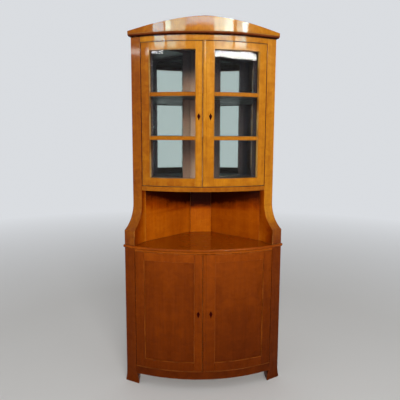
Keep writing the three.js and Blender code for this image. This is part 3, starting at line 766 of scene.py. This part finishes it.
stripX = plan["stripHalf"]
stripPlan = np.array([[-stripX, stripFront], [stripX, stripFront], [stripX, backY], [-stripX, backY]])
# Below the glazed case's floor the niche's tones are that floor's painted shadow: darkest at the top and
# reaching lowest in the middle and on the strip
niche = {  # heights, and there the tones of the panels beside the cheeks and in the middle, and of the strip
    "levels": [height["counter"][1], 0.90, 0.945, 0.968, 1.03,
               height["floor"][0], height["floor"][1], 1.68, 1.80, height["frieze"][1]],
    "beside": [0.03, 0.04, 0.05, 0.05, -0.12, -0.36, 0.0, 0.0, 0.0, 0.0],
    "middle": [0.05, 0.04, 0.02, -0.13, -0.42, -0.60, 0.0, 0.0, 0.0, 0.0],
    "strip": [0.08, 0.07, 0.04, -0.22, -0.50, -0.60, 0.0, 0.0, 0.0, 0.0],
    "insides": [never] * 6 + [always] * 4,  # painted shade from the top of the glazed case's floor up
    "shade": {"left": 0.0, "right": -0.04},
    "bare": {"left": 0.7, "strip": 0.8, "right": 0.2},  # painted light: how much paler the painted shade is at the glazed case's back
    "bareShares": np.array([1.0] * 8 + [0.1] * 2),  # and how much of that is left at each height
}
cases = {
    "lower": (lowerFront, [height["plinth"][0], height["counter"][0]], [0.0, height["counter"][0]],
              "plain_wood", "plain_wood"),
    "upper": (upperFront, niche["levels"], niche["levels"], "red_veneer", "amber_veneer"),
}


def nicheFinish(tone, bare, count, first, last):
    # Painted shade above the floor of the glazed case, and plain wood on the outer corners from the first to
    # the last
    insides = np.tile(np.reshape(niche["insides"], (-1, 1)), (1, count))
    insides[:, first:last] = never
    outer = (range(first, last - 1), "plain_wood")
    return {"tone": tone, "inside": insides, "bare": bare, "finish": "niche_painted_light", "second": outer}


for case, (front, panelLevels, stripLevels, slot, stripSlot) in cases.items():
    for side, word in sides:
        panelPlan = backPanel(side, front)
        count = len(panelPlan)
        rings = stacked(panelPlan, panelLevels)
        extra = {}
        if case == "upper":
            bare, tones = np.zeros((2, *rings.shape[:2]))  # the outer faces keep an even tone
            bare[:, -1] = niche["bare"][word] * niche["bareShares"]
            tones[:, 0] = np.array(niche["beside"]) + niche["shade"][word]
            tones[:, -1] = np.array(niche["middle"]) + niche["shade"][word]
            extra = nicheFinish(tones, bare, count, 1, count - 1)
        addPiece(f"back_{case}_{word}", f"{case}_{word}_back_panel", rings, wallGrain(rings, side), slot,
                 back["arris"], **extra)
    rings = stacked(stripPlan, stripLevels)
    extra = {}
    if case == "upper":
        tones = np.outer(niche["strip"], [1.0, 1.0, 0.0, 0.0])
        extra = nicheFinish(tones, niche["bare"]["strip"] * niche["bareShares"], 4, 2, 4)
    addPiece(f"back_strip_{case}", f"{case}_back_strip", rings, rings, stripSlot, back["stripArris"], **extra)
print("backs made")


# Boards and rails between the side pieces
def sideAngle(front, radius):
    # The angle at which a circle of that radius meets the side piece's inner face, less the play. On the line
    # rear + t run, |offset + t run| = radius gives a quadratic in t.
    rear = front["rear"] - (2 * plan["play"], 0.0)
    run = front["opening"] - front["rear"]
    offset = rear - (0.0, plan["lowerRadius"])
    a, b = run @ run, 2 * offset @ run
    c = offset @ offset - np.square(radius)
    t = (-b + np.sqrt(b * b - 4 * a * c)) / (2 * a)
    x, y = offset[0] + run[0] * t, offset[1] + run[1] * t
    return np.arctan2(x, -y)


def boardPlan(front, radius, backPlay):
    # A bowed front edge, straight sides, and cut off at the back round the strip
    half = float(sideAngle(front, radius))
    rearX = front["rear"][0] - 2 * plan["play"]
    line = panelInner - rootTwo * backPlay
    besideX = stripX + plan["play"]
    rear = [rearX, min(front["rear"][1], line - rearX)]
    beside = [besideX, line - besideX]
    before = [besideX, min(stripFront, beside[1]) - plan["play"]]
    rearHalf = np.array([rear, beside, before])
    return np.concatenate([arcPlan(radius, -half, half), rearHalf, mirrorPlan(rearHalf)])


boards = {
    "thickness": 0.018,
    "shelf": 0.012,
    "front": plan["railDepth"] + plan["play"],
    "shelfSetback": 0.038,
    "mirror": 0.004,
    "arris": 0.0012,
}


def addBoard(name, cadNode, front, setback, span, slot, backPlay=plan["play"], **extra):
    rings = stacked(boardPlan(front, front["radius"] - setback, backPlay), span)
    addPiece(name, cadNode, rings, rings[..., [1, 2, 0]], slot, boards["arris"], edges=False, **extra)


doors = {
    "thickness": 0.022,
    "gap": 0.002,
    "meetingOffset": 0.012,
    "bead": 0.021,
    "beadProud": 0.006,
    "beadSteps": 16,
    "panelThickness": 0.008,
    "panelSetback": 0.006,
    "panelArris": 0.0003,
    # the lower panel is painted shade past this depth from its face
    "panelPaintedShade": 0.007,
    "glassThickness": 0.003,
    "glassBehindBar": 0.002,
    "heelSteps": 20,
    "heelClear": 0.0005,
    # the doors are painted shade past these depths from their faces
    "insideFrom": {"lower": 0.0195, "upper": 0.0155},
    "jointStep": 0.001,
    "arris": 0.0009,
}
bolts = {"clear": 0.0009, "lockThrow": 0.009, "edgeThrow": 0.008, "proud": 0.002}


def boltSeats(front, case):
    # The room that a pair of doors leaves for its lock bolt, and for its edge bolt, which lies open to the back
    radius, clear = front["radius"], bolts["clear"]
    seats = []
    for bolt in ("right_door_lock_bolt", "left_door_edge_bolt"):
        place = arcGrain(planPoints(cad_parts[f"{case}_{bolt}"].data), 1, radius)
        place = place[place[:, 1] < doors["thickness"] + plan["play"]]  # without the knob
        low, high = place.min(axis=0) - clear, place.max(axis=0) + clear
        if "lock" in bolt:
            low[0] -= bolts["lockThrow"]
        else:
            high[1] += bolts["proud"]
            high[2] += bolts["edgeThrow"]
        into = np.array([low[1], high[1], high[1], low[1]])
        across = np.array([low[0], low[0], high[0], high[0]])
        seats.append(stacked(onArc(radius - into, across / radius), [low[2], high[2]]))
    return seats


def addRail(name, cadNode, front, span, slot, tone, seats=()):
    bottom, top = span
    radius, rear = front["radius"], front["radius"] - plan["railDepth"]
    section = [(rear, bottom), (radius, bottom), (radius, top), (rear, top)]
    half = sideAngle(front, np.array(section)[:, 0])
    rings, grain = bent(section, -half, half)
    if seats:
        grain = lambda points: arcGrain(points, 1, radius)
    addPiece(name, cadNode, rings, grain, slot, boards["arris"], tone=tone, inside=lip, seats=seats)


midLower = (height["plinth"][1] + height["counter"][0]) / 2
addBoard("bottom_board", "lower_bottom_board", lowerFront, boards["front"],
         (height["plinth"][1] - boards["thickness"], height["plinth"][1]), "plain_wood")
addBoard("cupboard_shelf", "lower_shelf", lowerFront, boards["shelfSetback"],
         (midLower, midLower + boards["thickness"]), "plain_wood")
addRail("plinth_bow", "plinth_rail", lowerFront, height["plinth"], "red_veneer", -0.16)
# the head rail's paler tone is painted light, as it lies in the counter's shade
addRail("head_bow", "lower_head_rail", lowerFront, height["headRail"], "red_veneer", 0.13,
        boltSeats(lowerFront, "lower")[1:])
addBoard("glazed_floor", "upper_floor", upperFront, 0.0, height["floor"], "amber_veneer", tone=-0.05,
         inside=height["floor"][1] - boards["arris"])
addBoard("top_board", "upper_top_board", upperFront, boards["front"],
         (height["frieze"][1] - boards["thickness"], height["frieze"][1]), "plain_wood", finish="inside_wood")
addRail("frieze_bow", "frieze_rail", upperFront, height["frieze"], "amber_veneer", 0.06,
        boltSeats(upperFront, "upper")[1:])

# the glazing bars are painted shade past 12.5 mm from their face
bars = {"shares": (0.319, 0.662), "width": 0.022, "depth": 0.014, "arris": 0.0016, "inside": 0.0125}
glazedBottom = height["upperDoor"][0] + upperFront["bottomRail"]
glazedTop = height["upperDoor"][1] - upperFront["topRail"]
for share, word in zip(bars["shares"], ("lower", "upper")):
    bottom = glazedBottom + share * (glazedTop - glazedBottom) - boards["shelf"] / 2
    addBoard(f"glazed_shelf_{word}", f"glazed_case_{word}_shelf", upperFront, boards["shelfSetback"],
             (bottom, bottom + boards["shelf"]), "plain_wood", boards["mirror"] + 2 * plan["play"],
             finish="inside_wood")
print("boards and rails made")


# Counter, cornice and pediment
def tipAt(corner, offset):
    # Where the canted face, standing out by the offset, meets the trim's line along the wall
    tip = corner + faceOut * offset
    return tip + faceRun * (trimLine - tip.sum()) / faceRun.sum()


def bowPlan(front, offset):
    half = float(angleAt(front["radius"], front["opening"][0]))
    return arcPlan(front["radius"] + offset, -half, half)


def moulded(front, rises, outs):
    # The case's outline standing out at each height: bowed front, canted faces, and back along the walls
    outlines = []
    for out in outs:
        side = np.array([tipAt(front["corner"], out), [trimLine - backY, backY]])
        outlines.append(np.concatenate([bowPlan(front, out), side, mirrorPlan(side)]))
    return stacked(np.stack(outlines), rises)


counter = {"shares": (0.25, 0.75, 1.0, 0.85, 0.5), "levels": 15, "arris": 0.0008}
counterThickness = height["counter"][1] - height["counter"][0]
curve = np.polyfit(np.linspace(0, 1, 5), counter["shares"], 4)  # the quartic through the five shares
rise = np.linspace(0.0, 1.0, counter["levels"])
levels = height["counter"][0] + counterThickness * rise
rings = moulded(lowerFront, levels, plan["counterOverhang"] * np.polyval(curve, rise))
# painted light and shade across the moulded edge: darker at its foot, paler over its face
tone = np.interp(rise, [0.0, 0.2, 0.8, 1.0], [-0.05, 0.12, 0.12, 0.02])
addPiece("counter_board", "counter", rings, rings[..., [1, 2, 0]], "red_veneer", counter["arris"], tone=tone,
         edges=False, finish="counter_polish", second=(range(rings.shape[1]), "red_veneer"))

cornice = {
    "overhang": 0.020,
    "height": 0.015,
    "filletShare": 0.1,
    "riseShare": 0.6,
    "outShare": 0.8,
    "levels": 14,
    "arris": 0.0004,
}
turn = np.linspace(0.0, pi / 2, cornice["levels"])
roundRise = cornice["filletShare"] + cornice["riseShare"] * (1 - np.cos(turn))  # a quarter of an ellipse
roundOut = cornice["filletShare"] + cornice["outShare"] * np.sin(turn)
rises = np.concatenate([[0.0], roundRise, [1.0]])
outs = np.concatenate([[roundOut[0]], roundOut, [1.0]])
rings = moulded(upperFront, height["frieze"][1] + cornice["height"] * rises, cornice["overhang"] * outs)
tone = np.interp(rises, [0.0, 0.3, 0.6, 1.0], [-0.35, -0.25, 0.05, 0.2])  # painted shade, darkest at its foot under the overhang
addPiece("cornice_board", "cornice", rings, rings, "amber_veneer", cornice["arris"], tone=tone, edges=False,
         finish="painted_shade_moulding")

gable = {"thickness": 0.024, "power": 1.45, "sideSteps": 10, "tip": 1.9505, "rise": 0.0595, "arris": 0.0014}


def gablePath(offset):
    # From the left tip round the bow to the right tip, the straight canted ends in even steps
    arc = bowPlan(upperFront, offset)
    steps = np.linspace(0.0, 1.0, gable["sideSteps"] + 1)[1:, None]
    right = arc[-1] + (tipAt(upperCorner, offset) - arc[-1]) * steps
    return np.concatenate([mirrorPlan(right), arc, right])


outerPath = gablePath(cornice["overhang"])
innerPath = gablePath(cornice["overhang"] - gable["thickness"])
tipX = outerPath[:, 0].max()


def gableTop(x):
    # The top edge stands at tip + rise (1 - |x / tip|^p)
    return gable["tip"] + gable["rise"] * (1 - np.abs(x / tipX) ** gable["power"])


bottom = np.full(len(outerPath), height["cornice"][1])
corners = [
    (outerPath, bottom),
    (outerPath, gableTop(outerPath[:, 0])),
    (innerPath, gableTop(innerPath[:, 0])),
    (innerPath, bottom),
]
rings = np.stack([np.column_stack([path, z]) for path, z in corners], axis=1)
run = np.concatenate([[0.0], np.cumsum(np.linalg.norm(np.diff(outerPath, axis=0), axis=1))])
grain = joined(run[:, None], [0.0, 0.0, gable["thickness"], gable["thickness"]], rings[..., 2])
# painted light: darker at the left end, paler in the middle and on the right
tone = np.interp(run, [run[0], run.mean(), run[-1]], [-0.08, 0.10, 0.08])
addPiece("pediment_bow", "pediment", rings, grain, "amber_veneer", gable["arris"], tone=tone)
print("counter, cornice and pediment made")

mirrors = {"thickness": 0.004, "middleBorder": 0.050, "sideBorder": 0.042, "endBorder": 0.008, "arris": 0.0003}
for side, word in sides:
    xs = np.array([stripX + mirrors["middleBorder"], upperRearX - mirrors["sideBorder"]])
    onPanel = joined(xs, panelInner - xs) - plan["play"] / rootTwo
    proud = onPanel - mirrors["thickness"] / rootTwo
    ends = [height["floor"][1] + mirrors["endBorder"], height["upperDoor"][1] - mirrors["endBorder"]]
    rings = stacked(np.concatenate([onPanel, proud[::-1]]) * (side, 1.0), ends)
    # the mirror's back and edges take the boards' dark painted shade
    addPiece(f"mirror_plate_{word}", f"{word}_mirror", rings, wallGrain(rings, side), "mirror",
             mirrors["arris"], segments=1, second=([0, 1, 3], "inside_wood"))
print("mirrors made")


def doorLayout(front, side):
    # Angles from the middle of the front towards the hinge side
    radius = front["radius"]
    middle = radius - doors["thickness"] / 2
    pivot = angleAt(radius, front["opening"][0]) - (doors["gap"] + doors["thickness"] / 2) / middle
    meeting = angleAt(radius, -side * doors["meetingOffset"] + doors["gap"] / 2)
    return {
        "pivot": float(pivot),
        "meeting": float(meeting),
        "hinge": float(pivot - (front["hingeStile"] - doors["thickness"] / 2) / radius),
        "face": float(meeting + (doors["bead"] / radius if side > 0 else 0.0)),
        "inner": float(angleAt(radius, front["innerEdge"])),
    }


def hingeStilePlan(front, layout):
    # Bowed face and back, joined by a heel about the pivot that just clears the side piece as it turns
    radius, half = front["radius"], doors["thickness"] / 2
    pivot = onArc(radius - half, layout["pivot"])
    run = (front["rear"] - front["opening"]) / np.linalg.norm(front["rear"] - front["opening"])
    offset = front["opening"] - pivot
    heelReach = abs(offset[0] * run[1] - offset[1] * run[0]) - doors["heelClear"]
    end = asin(half / heelReach)
    turn = layout["pivot"] + np.linspace(-end, end, doors["heelSteps"] + 1)
    heel = pivot + heelReach * joined(np.cos(turn), np.sin(turn))
    face = arcPlan(radius, layout["hinge"], layout["pivot"])
    rear = arcPlan(radius - 2 * half, layout["pivot"], layout["hinge"])
    return np.concatenate([face, heel, rear])


def meetingStilePlan(front, layout, hasBead):
    # Bowed face and back; the right door's edge carries a bead that stands out by a half sine
    radius = front["radius"]
    share = np.linspace(0, 1, doors["beadSteps"], endpoint=False)
    angle = layout["meeting"] + (layout["face"] - layout["meeting"]) * share
    bead = onArc(radius + doors["beadProud"] * np.sin(pi * share), angle)
    face = arcPlan(radius, layout["face"], layout["inner"])
    rear = arcPlan(radius - doors["thickness"], layout["inner"], layout["meeting"])
    return np.concatenate([bead if hasBead else bead[:0], face, rear])


kite = {
    "halfWidth": 0.009,
    "upper": 0.017,
    "lower": 0.023,
    "thickness": 0.0016,
    "keyhole": 0.0026,
    "slot": 0.0012,
    "slotLength": 0.009,
    "points": 96,
    "shares": [0.0, 0.0, 0.06, 0.18, 0.6, 0.97, 1.0, 1.0],  # of the way from the rim to the keyhole
    "proudShares": [0.0, 0.55, 0.8, 0.95, 1.0, 1.0, 0.9, 0.05],  # and there of the thickness
}


def escutcheonRings(front, layout, side):
    # Rings from the kite's back edge over its pillowed face and down into the keyhole: |x|/w + |z|/h = 1 is the
    # rim, and the keyhole is a circle joined to a slot below
    turn = np.linspace(0, 2 * pi, kite["points"], endpoint=False) + pi / 2
    sine, cosine = np.sin(turn), np.cos(turn)
    length = np.where(sine > 0, kite["upper"], kite["lower"])
    kiteReach = 1 / (np.abs(cosine) / kite["halfWidth"] + np.abs(sine) / length)
    beside, down = np.maximum(np.abs(cosine), 1e-6), np.maximum(-sine, 1e-6)
    slotReach = np.minimum(kite["slot"] / beside, kite["slotLength"] / down)
    holeReach = np.maximum(kite["keyhole"], np.where(sine < 0, slotReach, 0.0))
    reachOut = kiteReach + (holeReach - kiteReach) * np.array(kite["shares"])[:, None]
    across, up = reachOut * cosine, reachOut * sine
    proud = np.array(kite["proudShares"])[:, None] * kite["thickness"]
    angle = side * (layout["face"] + layout["inner"]) / 2
    centre = onArc(front["radius"] + plan["play"], angle)
    along, out = np.array([cos(angle), sin(angle)]), np.array([sin(angle), -cos(angle)])
    place = centre + across[..., None] * along + proud[..., None] * out
    return joined(place[..., 0], place[..., 1], front["keyholeZ"] + up), joined(across, proud, up)


# From the bottom to the top of each upright, and one tone for each crosspiece. They are painted light and
# shade: the lower doors darker towards the floor, the left glazed door darker than the right, meeting stiles
# paler
doorPaintedLight = {  # hinge stile, meeting stile, top rail, bottom rail, and panel or bars
    "lower_left_door": ([-0.12, 0.0], [-0.08, 0.07], 0.06, -0.10, [-0.14, 0.0]),
    "lower_right_door": ([-0.17, -0.01], [-0.08, 0.09], 0.06, -0.11, [-0.16, 0.01]),
    "upper_left_door": ([-0.06, -0.05], [0.02, 0.13], 0.10, -0.02, -0.03),
    "upper_right_door": ([0.04, 0.08], [0.07, 0.17], 0.13, 0.03, 0.03),
}


def addDoor(front, case, side, sideWord):
    body = f"{case}_{sideWord}_door"
    layout = doorLayout(front, side)
    hingeTone, meetingTone, topTone, bottomTone, fieldTone = doorPaintedLight[body]
    slot, finish = ("red_veneer", None) if case == "lower" else ("amber_veneer", "door_veneer")
    radius, thickness, (bottom, top) = front["radius"], doors["thickness"], front["door"]
    railTop, railBottom = top - front["topRail"], bottom + front["bottomRail"]
    play, joint = plan["play"] / radius, doors["jointStep"]
    insideFrom = doors["insideFrom"][case]

    def stile(word, cadWord, outlinePlan, tone, paneEdge, seats=()):
        levels = [bottom, railBottom - joint, railBottom + joint, railTop - joint, railTop + joint, top]
        joints = np.zeros((len(levels), 4))
        joints[[0, 1, 4, 5], paneEdge] = 1.0  # where the rails meet the stile
        rings = stacked(outlinePlan * (side, 1.0), levels)
        grain = (lambda points: arcGrain(points, side, radius)) if seats else arcGrain(rings, side, radius)
        addPiece(f"{body}_{word}", f"{body}_{cadWord}", rings, grain, slot, doors["arris"], body,
                 np.interp(levels, [bottom, top], tone), insideFrom, joints=joints, seats=seats, finish=finish)

    def across(word, cadWord, face, depth, low, high, tone=0.0, arris=doors["arris"], inside=insideFrom,
               joint=1.0, slot=slot, finish=finish):
        section = [(face - depth, low), (face, low), (face, high), (face - depth, high)]
        rings, grain = bent(section, side * (layout["inner"] + play), side * (layout["hinge"] - play))
        if np.ndim(tone):  # a lower and an upper one
            tone = np.tile(np.repeat(tone, 2), (len(rings), 1))
        addPiece(f"{body}_{word}", f"{body}_{cadWord}", rings, grain, slot, arris, body, tone, inside,
                 joints=(joint, joint, 0.0, 0.0), finish=finish)

    stile("hung_stile", "hinge_stile", hingeStilePlan(front, layout), hingeTone, 0)
    stile("closing_stile", "meeting_stile", meetingStilePlan(front, layout, side > 0), meetingTone, 1,
          boltSeats(front, case)[:1 if side > 0 else 2])
    across("head", "top_rail", radius, thickness, railTop, top, topTone)
    across("foot", "bottom_rail", radius, thickness, bottom, railBottom, bottomTone)
    if case == "lower":
        across("field", "panel", radius - doors["panelSetback"], doors["panelThickness"], railBottom, railTop,
               fieldTone, doors["panelArris"], doors["panelPaintedShade"], 0.0)
    else:
        for share, word in zip(bars["shares"], ("lower", "upper")):
            low = railBottom + share * (railTop - railBottom) - bars["width"] / 2
            across(f"{word}_glazing_bar", f"{word}_bar", radius, bars["depth"], low, low + bars["width"],
                   fieldTone, bars["arris"], bars["inside"])
        across("pane", "glass", radius - bars["depth"] - doors["glassBehindBar"], doors["glassThickness"],
               railBottom, railTop, arris=0.0, inside=never, slot="door_glass", finish=None)
    rings, grain = escutcheonRings(front, layout, side)
    addPiece(f"{body}_keyplate", f"{body}_escutcheon", rings, grain, "ebonised", 0.0, body)


for case, front in (("lower", lowerFront), ("upper", upperFront)):
    for side, word in sides:
        addDoor(front, case, side, word)
print("doors made:", len(pieces), "pieces so far")

# Pins and bolts stay as they are in the model, with their own metals
for name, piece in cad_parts.items():
    if name.endswith(("_pin", "_bolt")):
        for materialSlot in piece.material_slots:
            materialSlot.material = finishes["brass" if name.endswith("edge_bolt") else "steel"]

studio = {
    "floorSize": 60.0,
    "floorColour": (0.76, 0.77, 0.78),
    "mottle": 0.97,
    "fade": (1.6, 6.0),  # metres from the cabinet where the floor starts to turn into the backdrop, and ends
    "skySeen": (0.70, 0.72, 0.75),
    "skyLight": 0.40,
    "skyColour": (1.0, 0.98, 0.95),
}
keyLamp = {
    "place": (0.35, -5.6, 2.75),
    "target": (0.0, -0.1, 1.2),
    "width": 3.0,
    "tall": 0.5,
    "watts": 235.0,
    "colour": (1.0, 0.97, 0.93),
}


def paleFloor(look):
    place = node("TexCoord").outputs["Object"]
    mottle = noise(place, (1.5, 1.5, 1.5), 4.0)
    pale = tint(mottle, rgba(look["floorColour"], look["mottle"]), rgba(look["floorColour"]))
    matt = node("BsdfPrincipled", {"Base Color": pale, "Roughness": 0.7, "Specular IOR Level": 0.1})
    away = node("VectorMath", {0: place}, operation="LENGTH").outputs["Value"]
    fade = times(reach(away, *look["fade"]), backdropRays())
    backdrop = node("Emission", {"Color": rgba(look["skySeen"]), "Strength": 1.0})
    return mixShader(fade, matt, backdrop)


floorCorners = studio["floorSize"] * np.array([(-0.5, -0.5, 0), (0.5, -0.5, 0), (0.5, 0.5, 0), (-0.5, 0.5, 0)])
floorMesh = bpy.data.meshes.new("studio_floor")
floorMesh.from_pydata(floorCorners.tolist(), [], [(0, 1, 2, 3)])
floorMesh.materials.append(makeFinish("studioFloor", paleFloor, studio))
floor = newObject("studio_floor", floorMesh)

world = bpy.data.worlds.new("studio")
scene.world = world
world.use_nodes = True
startSheet(world.node_tree)
light = node("Background", {"Color": rgba(studio["skyColour"]), "Strength": studio["skyLight"]})
shown = node("Background", {"Color": rgba(studio["skySeen"]), "Strength": 1.0})
node("OutputWorld", {"Surface": mixShader(backdropRays(), light, shown)})


def softbox(name, place, target, width, tall, watts, colour, roll=0.0):
    lamp = bpy.data.lights.new(name, "AREA")
    lamp.shape = "RECTANGLE"
    lamp.size, lamp.size_y = width, tall
    lamp.energy = watts
    lamp.color = colour
    holder = newObject(name, lamp)
    aim = (Vector(target) - Vector(place)).to_track_quat("-Z", "Y").to_matrix().to_4x4()
    holder.matrix_world = Matrix.Translation(place) @ aim @ Matrix.Rotation(radians(roll), 4, "Z")
    return holder


key = softbox("key", **keyLamp)
key.visible_glossy = False  # the windows below show in the polish in its place
key.visible_transmission = False

# Window-like boxes that the polish and the panes reflect, in bands: low and high in degrees over the pediment's
# middle, roll, and from left to right (from, to) in degrees from the front, radiance and colour
windows = {"distance": 4.5, "middle": (0.0, -0.15, 1.9), "bands": [
    (11.65, 15, 0, [  # in the pediment
        (-46, -36, 64, (0.41, 0.83, 1.0)),
        (-34, -29.5, 110, (0.65, 1.0, 0.88)),
        (-29.5, -15.5, 40, (0.55, 1.0, 0.88)),
    ]),
    (13.75, 15, 0, [(-14, 11, 66, (0.28, 0.74, 1.0))]),
    (11.65, 15, 0, [
        (12, 22, 76, (0.66, 1.0, 0.89)),
        (22, 30, 112, (0.66, 1.0, 0.96)),
        (33, 38.5, 50, (0.60, 1.0, 0.90)),
        (38.5, 44, 145, (0.55, 0.95, 1.0)),
    ]),
    (10.75, 11.65, 0, [  # in the frieze
        (-46, -36, 62, (0.16, 0.80, 1.0)),
        (-34, -15.5, 18, (0.10, 0.62, 1.0)),
        (12, 30, 20, (0.37, 0.93, 1.0)),
        (33, 44, 26, (0.70, 1.0, 1.0)),
    ]),
    (9.3, 10.75, 0, [  # in the top rails of the glazed doors
        (-46, -36, 54, (0.24, 0.90, 1.0)),
        (-34, -25, 40, (0.30, 1.0, 0.95)),
        (-25, -15.5, 13, (0.30, 1.0, 0.90)),
        (12, 22, 25, (0.52, 1.0, 0.86)),
        (22, 30, 42, (0.54, 1.0, 0.90)),
        (33, 38.5, 66, (0.80, 1.0, 0.97)),
        (38.5, 44, 75, (0.33, 0.93, 1.0)),
    ]),
    (8.2, 9, 1.5, [(-55, -38, 50, (1.0, 0.97, 0.88))]),  # in the tops of the panes
    (7.9, 9, -1.2, [(12, 34.5, 110, (1.0, 0.97, 0.88))]),
    (7.4, 8.6, -1.2, [(34.5, 57, 110, (1.0, 0.97, 0.88))]),
]}
boxes = [(low, high, roll, *box) for low, high, roll, row in windows["bands"] for box in row]
for number, (low, high, roll, fromTurn, toTurn, radiance, colour) in enumerate(boxes):
    turn, tilt = radians((fromTurn + toTurn) / 2), radians((low + high) / 2)
    away = Vector((sin(turn) * cos(tilt), -cos(turn) * cos(tilt), sin(tilt)))
    spans = (radians(toTurn - fromTurn), radians(high - low))
    width, tall = (2 * windows["distance"] * tan(span / 2) for span in spans)
    place = Vector(windows["middle"]) + away * windows["distance"]
    watts = radiance * pi * width * tall
    window = softbox(f"window_{number}", place, windows["middle"], width, tall, watts, colour, roll)
    window.visible_diffuse = False  # it shows in the polish and the panes, and lights nothing else

shot = {"place": (-0.1530, -2.6515, 1.4102), "yaw": 2.97, "pitch": 8.07, "roll": 0.23, "lens": 41.77}
yaw, pitch, roll = (radians(shot[turned]) for turned in ("yaw", "pitch", "roll"))
forward = Vector((sin(yaw) * cos(pitch), cos(yaw) * cos(pitch), -sin(pitch)))
level = Vector((cos(yaw), -sin(yaw), 0.0))
upright = level.cross(forward)
cameraRight = level * cos(roll) + upright * sin(roll)
cameraUp = upright * cos(roll) - level * sin(roll)
lensData = bpy.data.cameras.new("camera")
lensData.lens = shot["lens"]
lensData.clip_end = 100.0
camera = newObject("camera", lensData)
turned = Matrix((cameraRight, cameraUp, -forward)).transposed().to_4x4()
camera.matrix_world = Matrix.Translation(shot["place"]) @ turned
scene.camera = camera
scene.view_settings.view_transform = "Standard"
print("studio ready")
